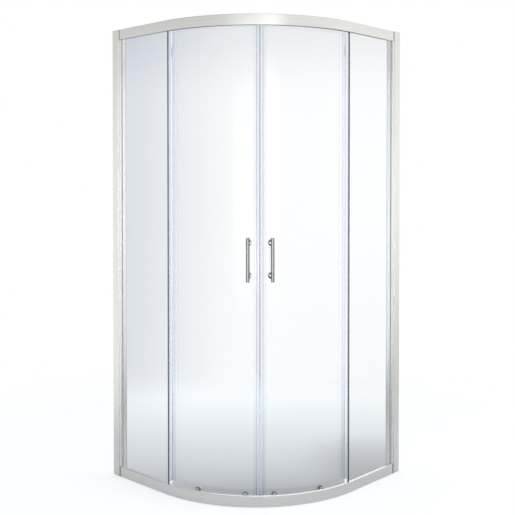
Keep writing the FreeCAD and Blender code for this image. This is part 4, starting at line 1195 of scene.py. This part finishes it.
def build_world(scene):
    """White for the eye; the room and its soft boxes in reflections; a fading backdrop behind glass."""
    world = bpy.data.worlds.new("Studio")
    world.use_nodes = True
    tree = world.node_tree
    way = add_node(tree, "TexCoord", {}).outputs["Generated"]
    side = along(tree, way, RIGHT)
    height = along(tree, way, UP)
    azimuth = worked(tree, "ARCTAN2", side, along(tree, way, FRONT))
    room = room_light(tree, side, azimuth, height)
    studio = room
    for box in SOFT_BOXES:
        studio = worked(tree, "ADD", studio, soft_box(tree, azimuth, height, *box))
    backdrop = product(tree, ramp(tree, side, *BACKDROP_SIDE), ramp(tree, height, *BACKDROP_HIGH))

    ray = add_node(tree, "LightPath", {}).outputs
    past_panes = worked(tree, "GREATER_THAN", ray["Transmission Depth"], ONE_PANE)
    mirrored_once = worked(tree, "GREATER_THAN", ray["Glossy Depth"], NO_MIRROR)
    inner = product(tree, room, blended(tree, past_panes, 1.0, PAST_PANES))
    through = blended(tree, mirrored_once, backdrop, inner)
    level = blended(tree, ray["Is Glossy Ray"], DULL_LOBE, studio)
    level = blended(tree, ray["Is Transmission Ray"], level, through)
    tinted = product(tree, ray["Is Transmission Ray"], ramp(tree, backdrop, *TINT_BY_TONE))
    feed(tree, tree.nodes["Background"], {
        "Color": tone_mix(tree, tinted, WHITE, BACKDROP_TINT),
        "Strength": blended(tree, ray["Is Camera Ray"], level, 1.0),
    })
    scene.world = world


def set_view(obj, place, forward):
    """Stand an object at a place with its -Z axis along forward and its X axis level."""
    right = unit(np.cross(forward, UP))
    turn = Matrix(np.column_stack([right, np.cross(right, forward), -forward]).tolist())
    obj.matrix_world = Matrix.Translation(place.tolist()) @ turn.to_4x4()


def add_lamp(name, place, target, size, power):
    """A soft box at a place, facing a target; its reflection is the studio's own."""
    data = bpy.data.lights.new(name, "AREA")
    data.shape = "RECTANGLE"
    data.size, data.size_y = size
    data.energy = power
    lamp = bpy.data.objects.new(name, data)
    lamp.visible_glossy = False
    lamp.visible_transmission = False
    bpy.context.scene.collection.objects.link(lamp)
    set_view(lamp, np.array(place), unit(np.subtract(target, place)))


def build_camera(scene):
    """The photograph's camera: yaw from the diagonal towards RIGHT, pitch downwards, and a level horizon."""
    data = bpy.data.cameras.new("Camera")
    data.sensor_width = SENSOR_WIDTH
    data.lens = CAMERA_LENS
    data.shift_y = CAMERA_SHIFT
    camera = bpy.data.objects.new("Camera", data)
    scene.collection.objects.link(camera)
    level = math.sin(CAMERA_YAW) * np.array(RIGHT) - math.cos(CAMERA_YAW) * np.array(FRONT)
    forward = level * math.cos(CAMERA_PITCH) - np.array(UP) * math.sin(CAMERA_PITCH)
    set_view(camera, CAMERA_PLACE, forward)
    scene.camera = camera


class ENCLOSURE_OT_stage(bpy.types.Operator):
    """Floor, backdrop, soft lamps and the camera"""

    bl_idname = "enclosure.stage"
    bl_label = "Stage"

    def execute(self, context):
        scene = context.scene
        scene.view_settings.view_transform = "Standard"
        build_floor(tuple(scene.enclosure_finishes.floor))
        build_world(scene)
        for lamp in LAMPS:
            add_lamp(*lamp)
        build_camera(scene)
        return {"FINISHED"}


# ---- panel and registration ----

OPERATORS = (
    ENCLOSURE_OT_metalwork, ENCLOSURE_OT_panes, ENCLOSURE_OT_seals, ENCLOSURE_OT_rollers,
    ENCLOSURE_OT_handles, ENCLOSURE_OT_fixings, ENCLOSURE_OT_stage,
)


class ENCLOSURE_PT_panel(bpy.types.Panel):
    """Lists the enclosure's pieces and its stage"""

    bl_idname = "ENCLOSURE_PT_panel"
    bl_label = "Shower Enclosure"
    bl_space_type = "VIEW_3D"
    bl_region_type = "UI"
    bl_category = "Enclosure"

    def draw(self, context):
        for operator in OPERATORS:
            self.layout.operator(operator.bl_idname)
        for group in (context.scene.enclosure_sizes, context.scene.enclosure_finishes):
            box = self.layout.box()
            for key in group.__annotations__:
                box.prop(group, key)


CLASSES = (EnclosureSizes, EnclosureFinishes) + OPERATORS + (ENCLOSURE_PT_panel,)


def register():
    """Register the classes and hang the settings on the scene."""
    for cls in CLASSES:
        bpy.utils.register_class(cls)
    bpy.types.Scene.enclosure_sizes = bpy.props.PointerProperty(type=EnclosureSizes)
    bpy.types.Scene.enclosure_finishes = bpy.props.PointerProperty(type=EnclosureFinishes)


def unregister():
    """Take the settings off the scene and unregister the classes."""
    del bpy.types.Scene.enclosure_sizes
    del bpy.types.Scene.enclosure_finishes
    for cls in reversed(CLASSES):
        bpy.utils.unregister_class(cls)


def main():
    """Build every piece in order."""
    register()
    bpy.ops.enclosure.metalwork()
    bpy.ops.enclosure.panes()
    bpy.ops.enclosure.seals()
    bpy.ops.enclosure.rollers()
    bpy.ops.enclosure.handles()
    bpy.ops.enclosure.fixings()
    bpy.ops.enclosure.stage()


if __name__ == "__main__":
    main()
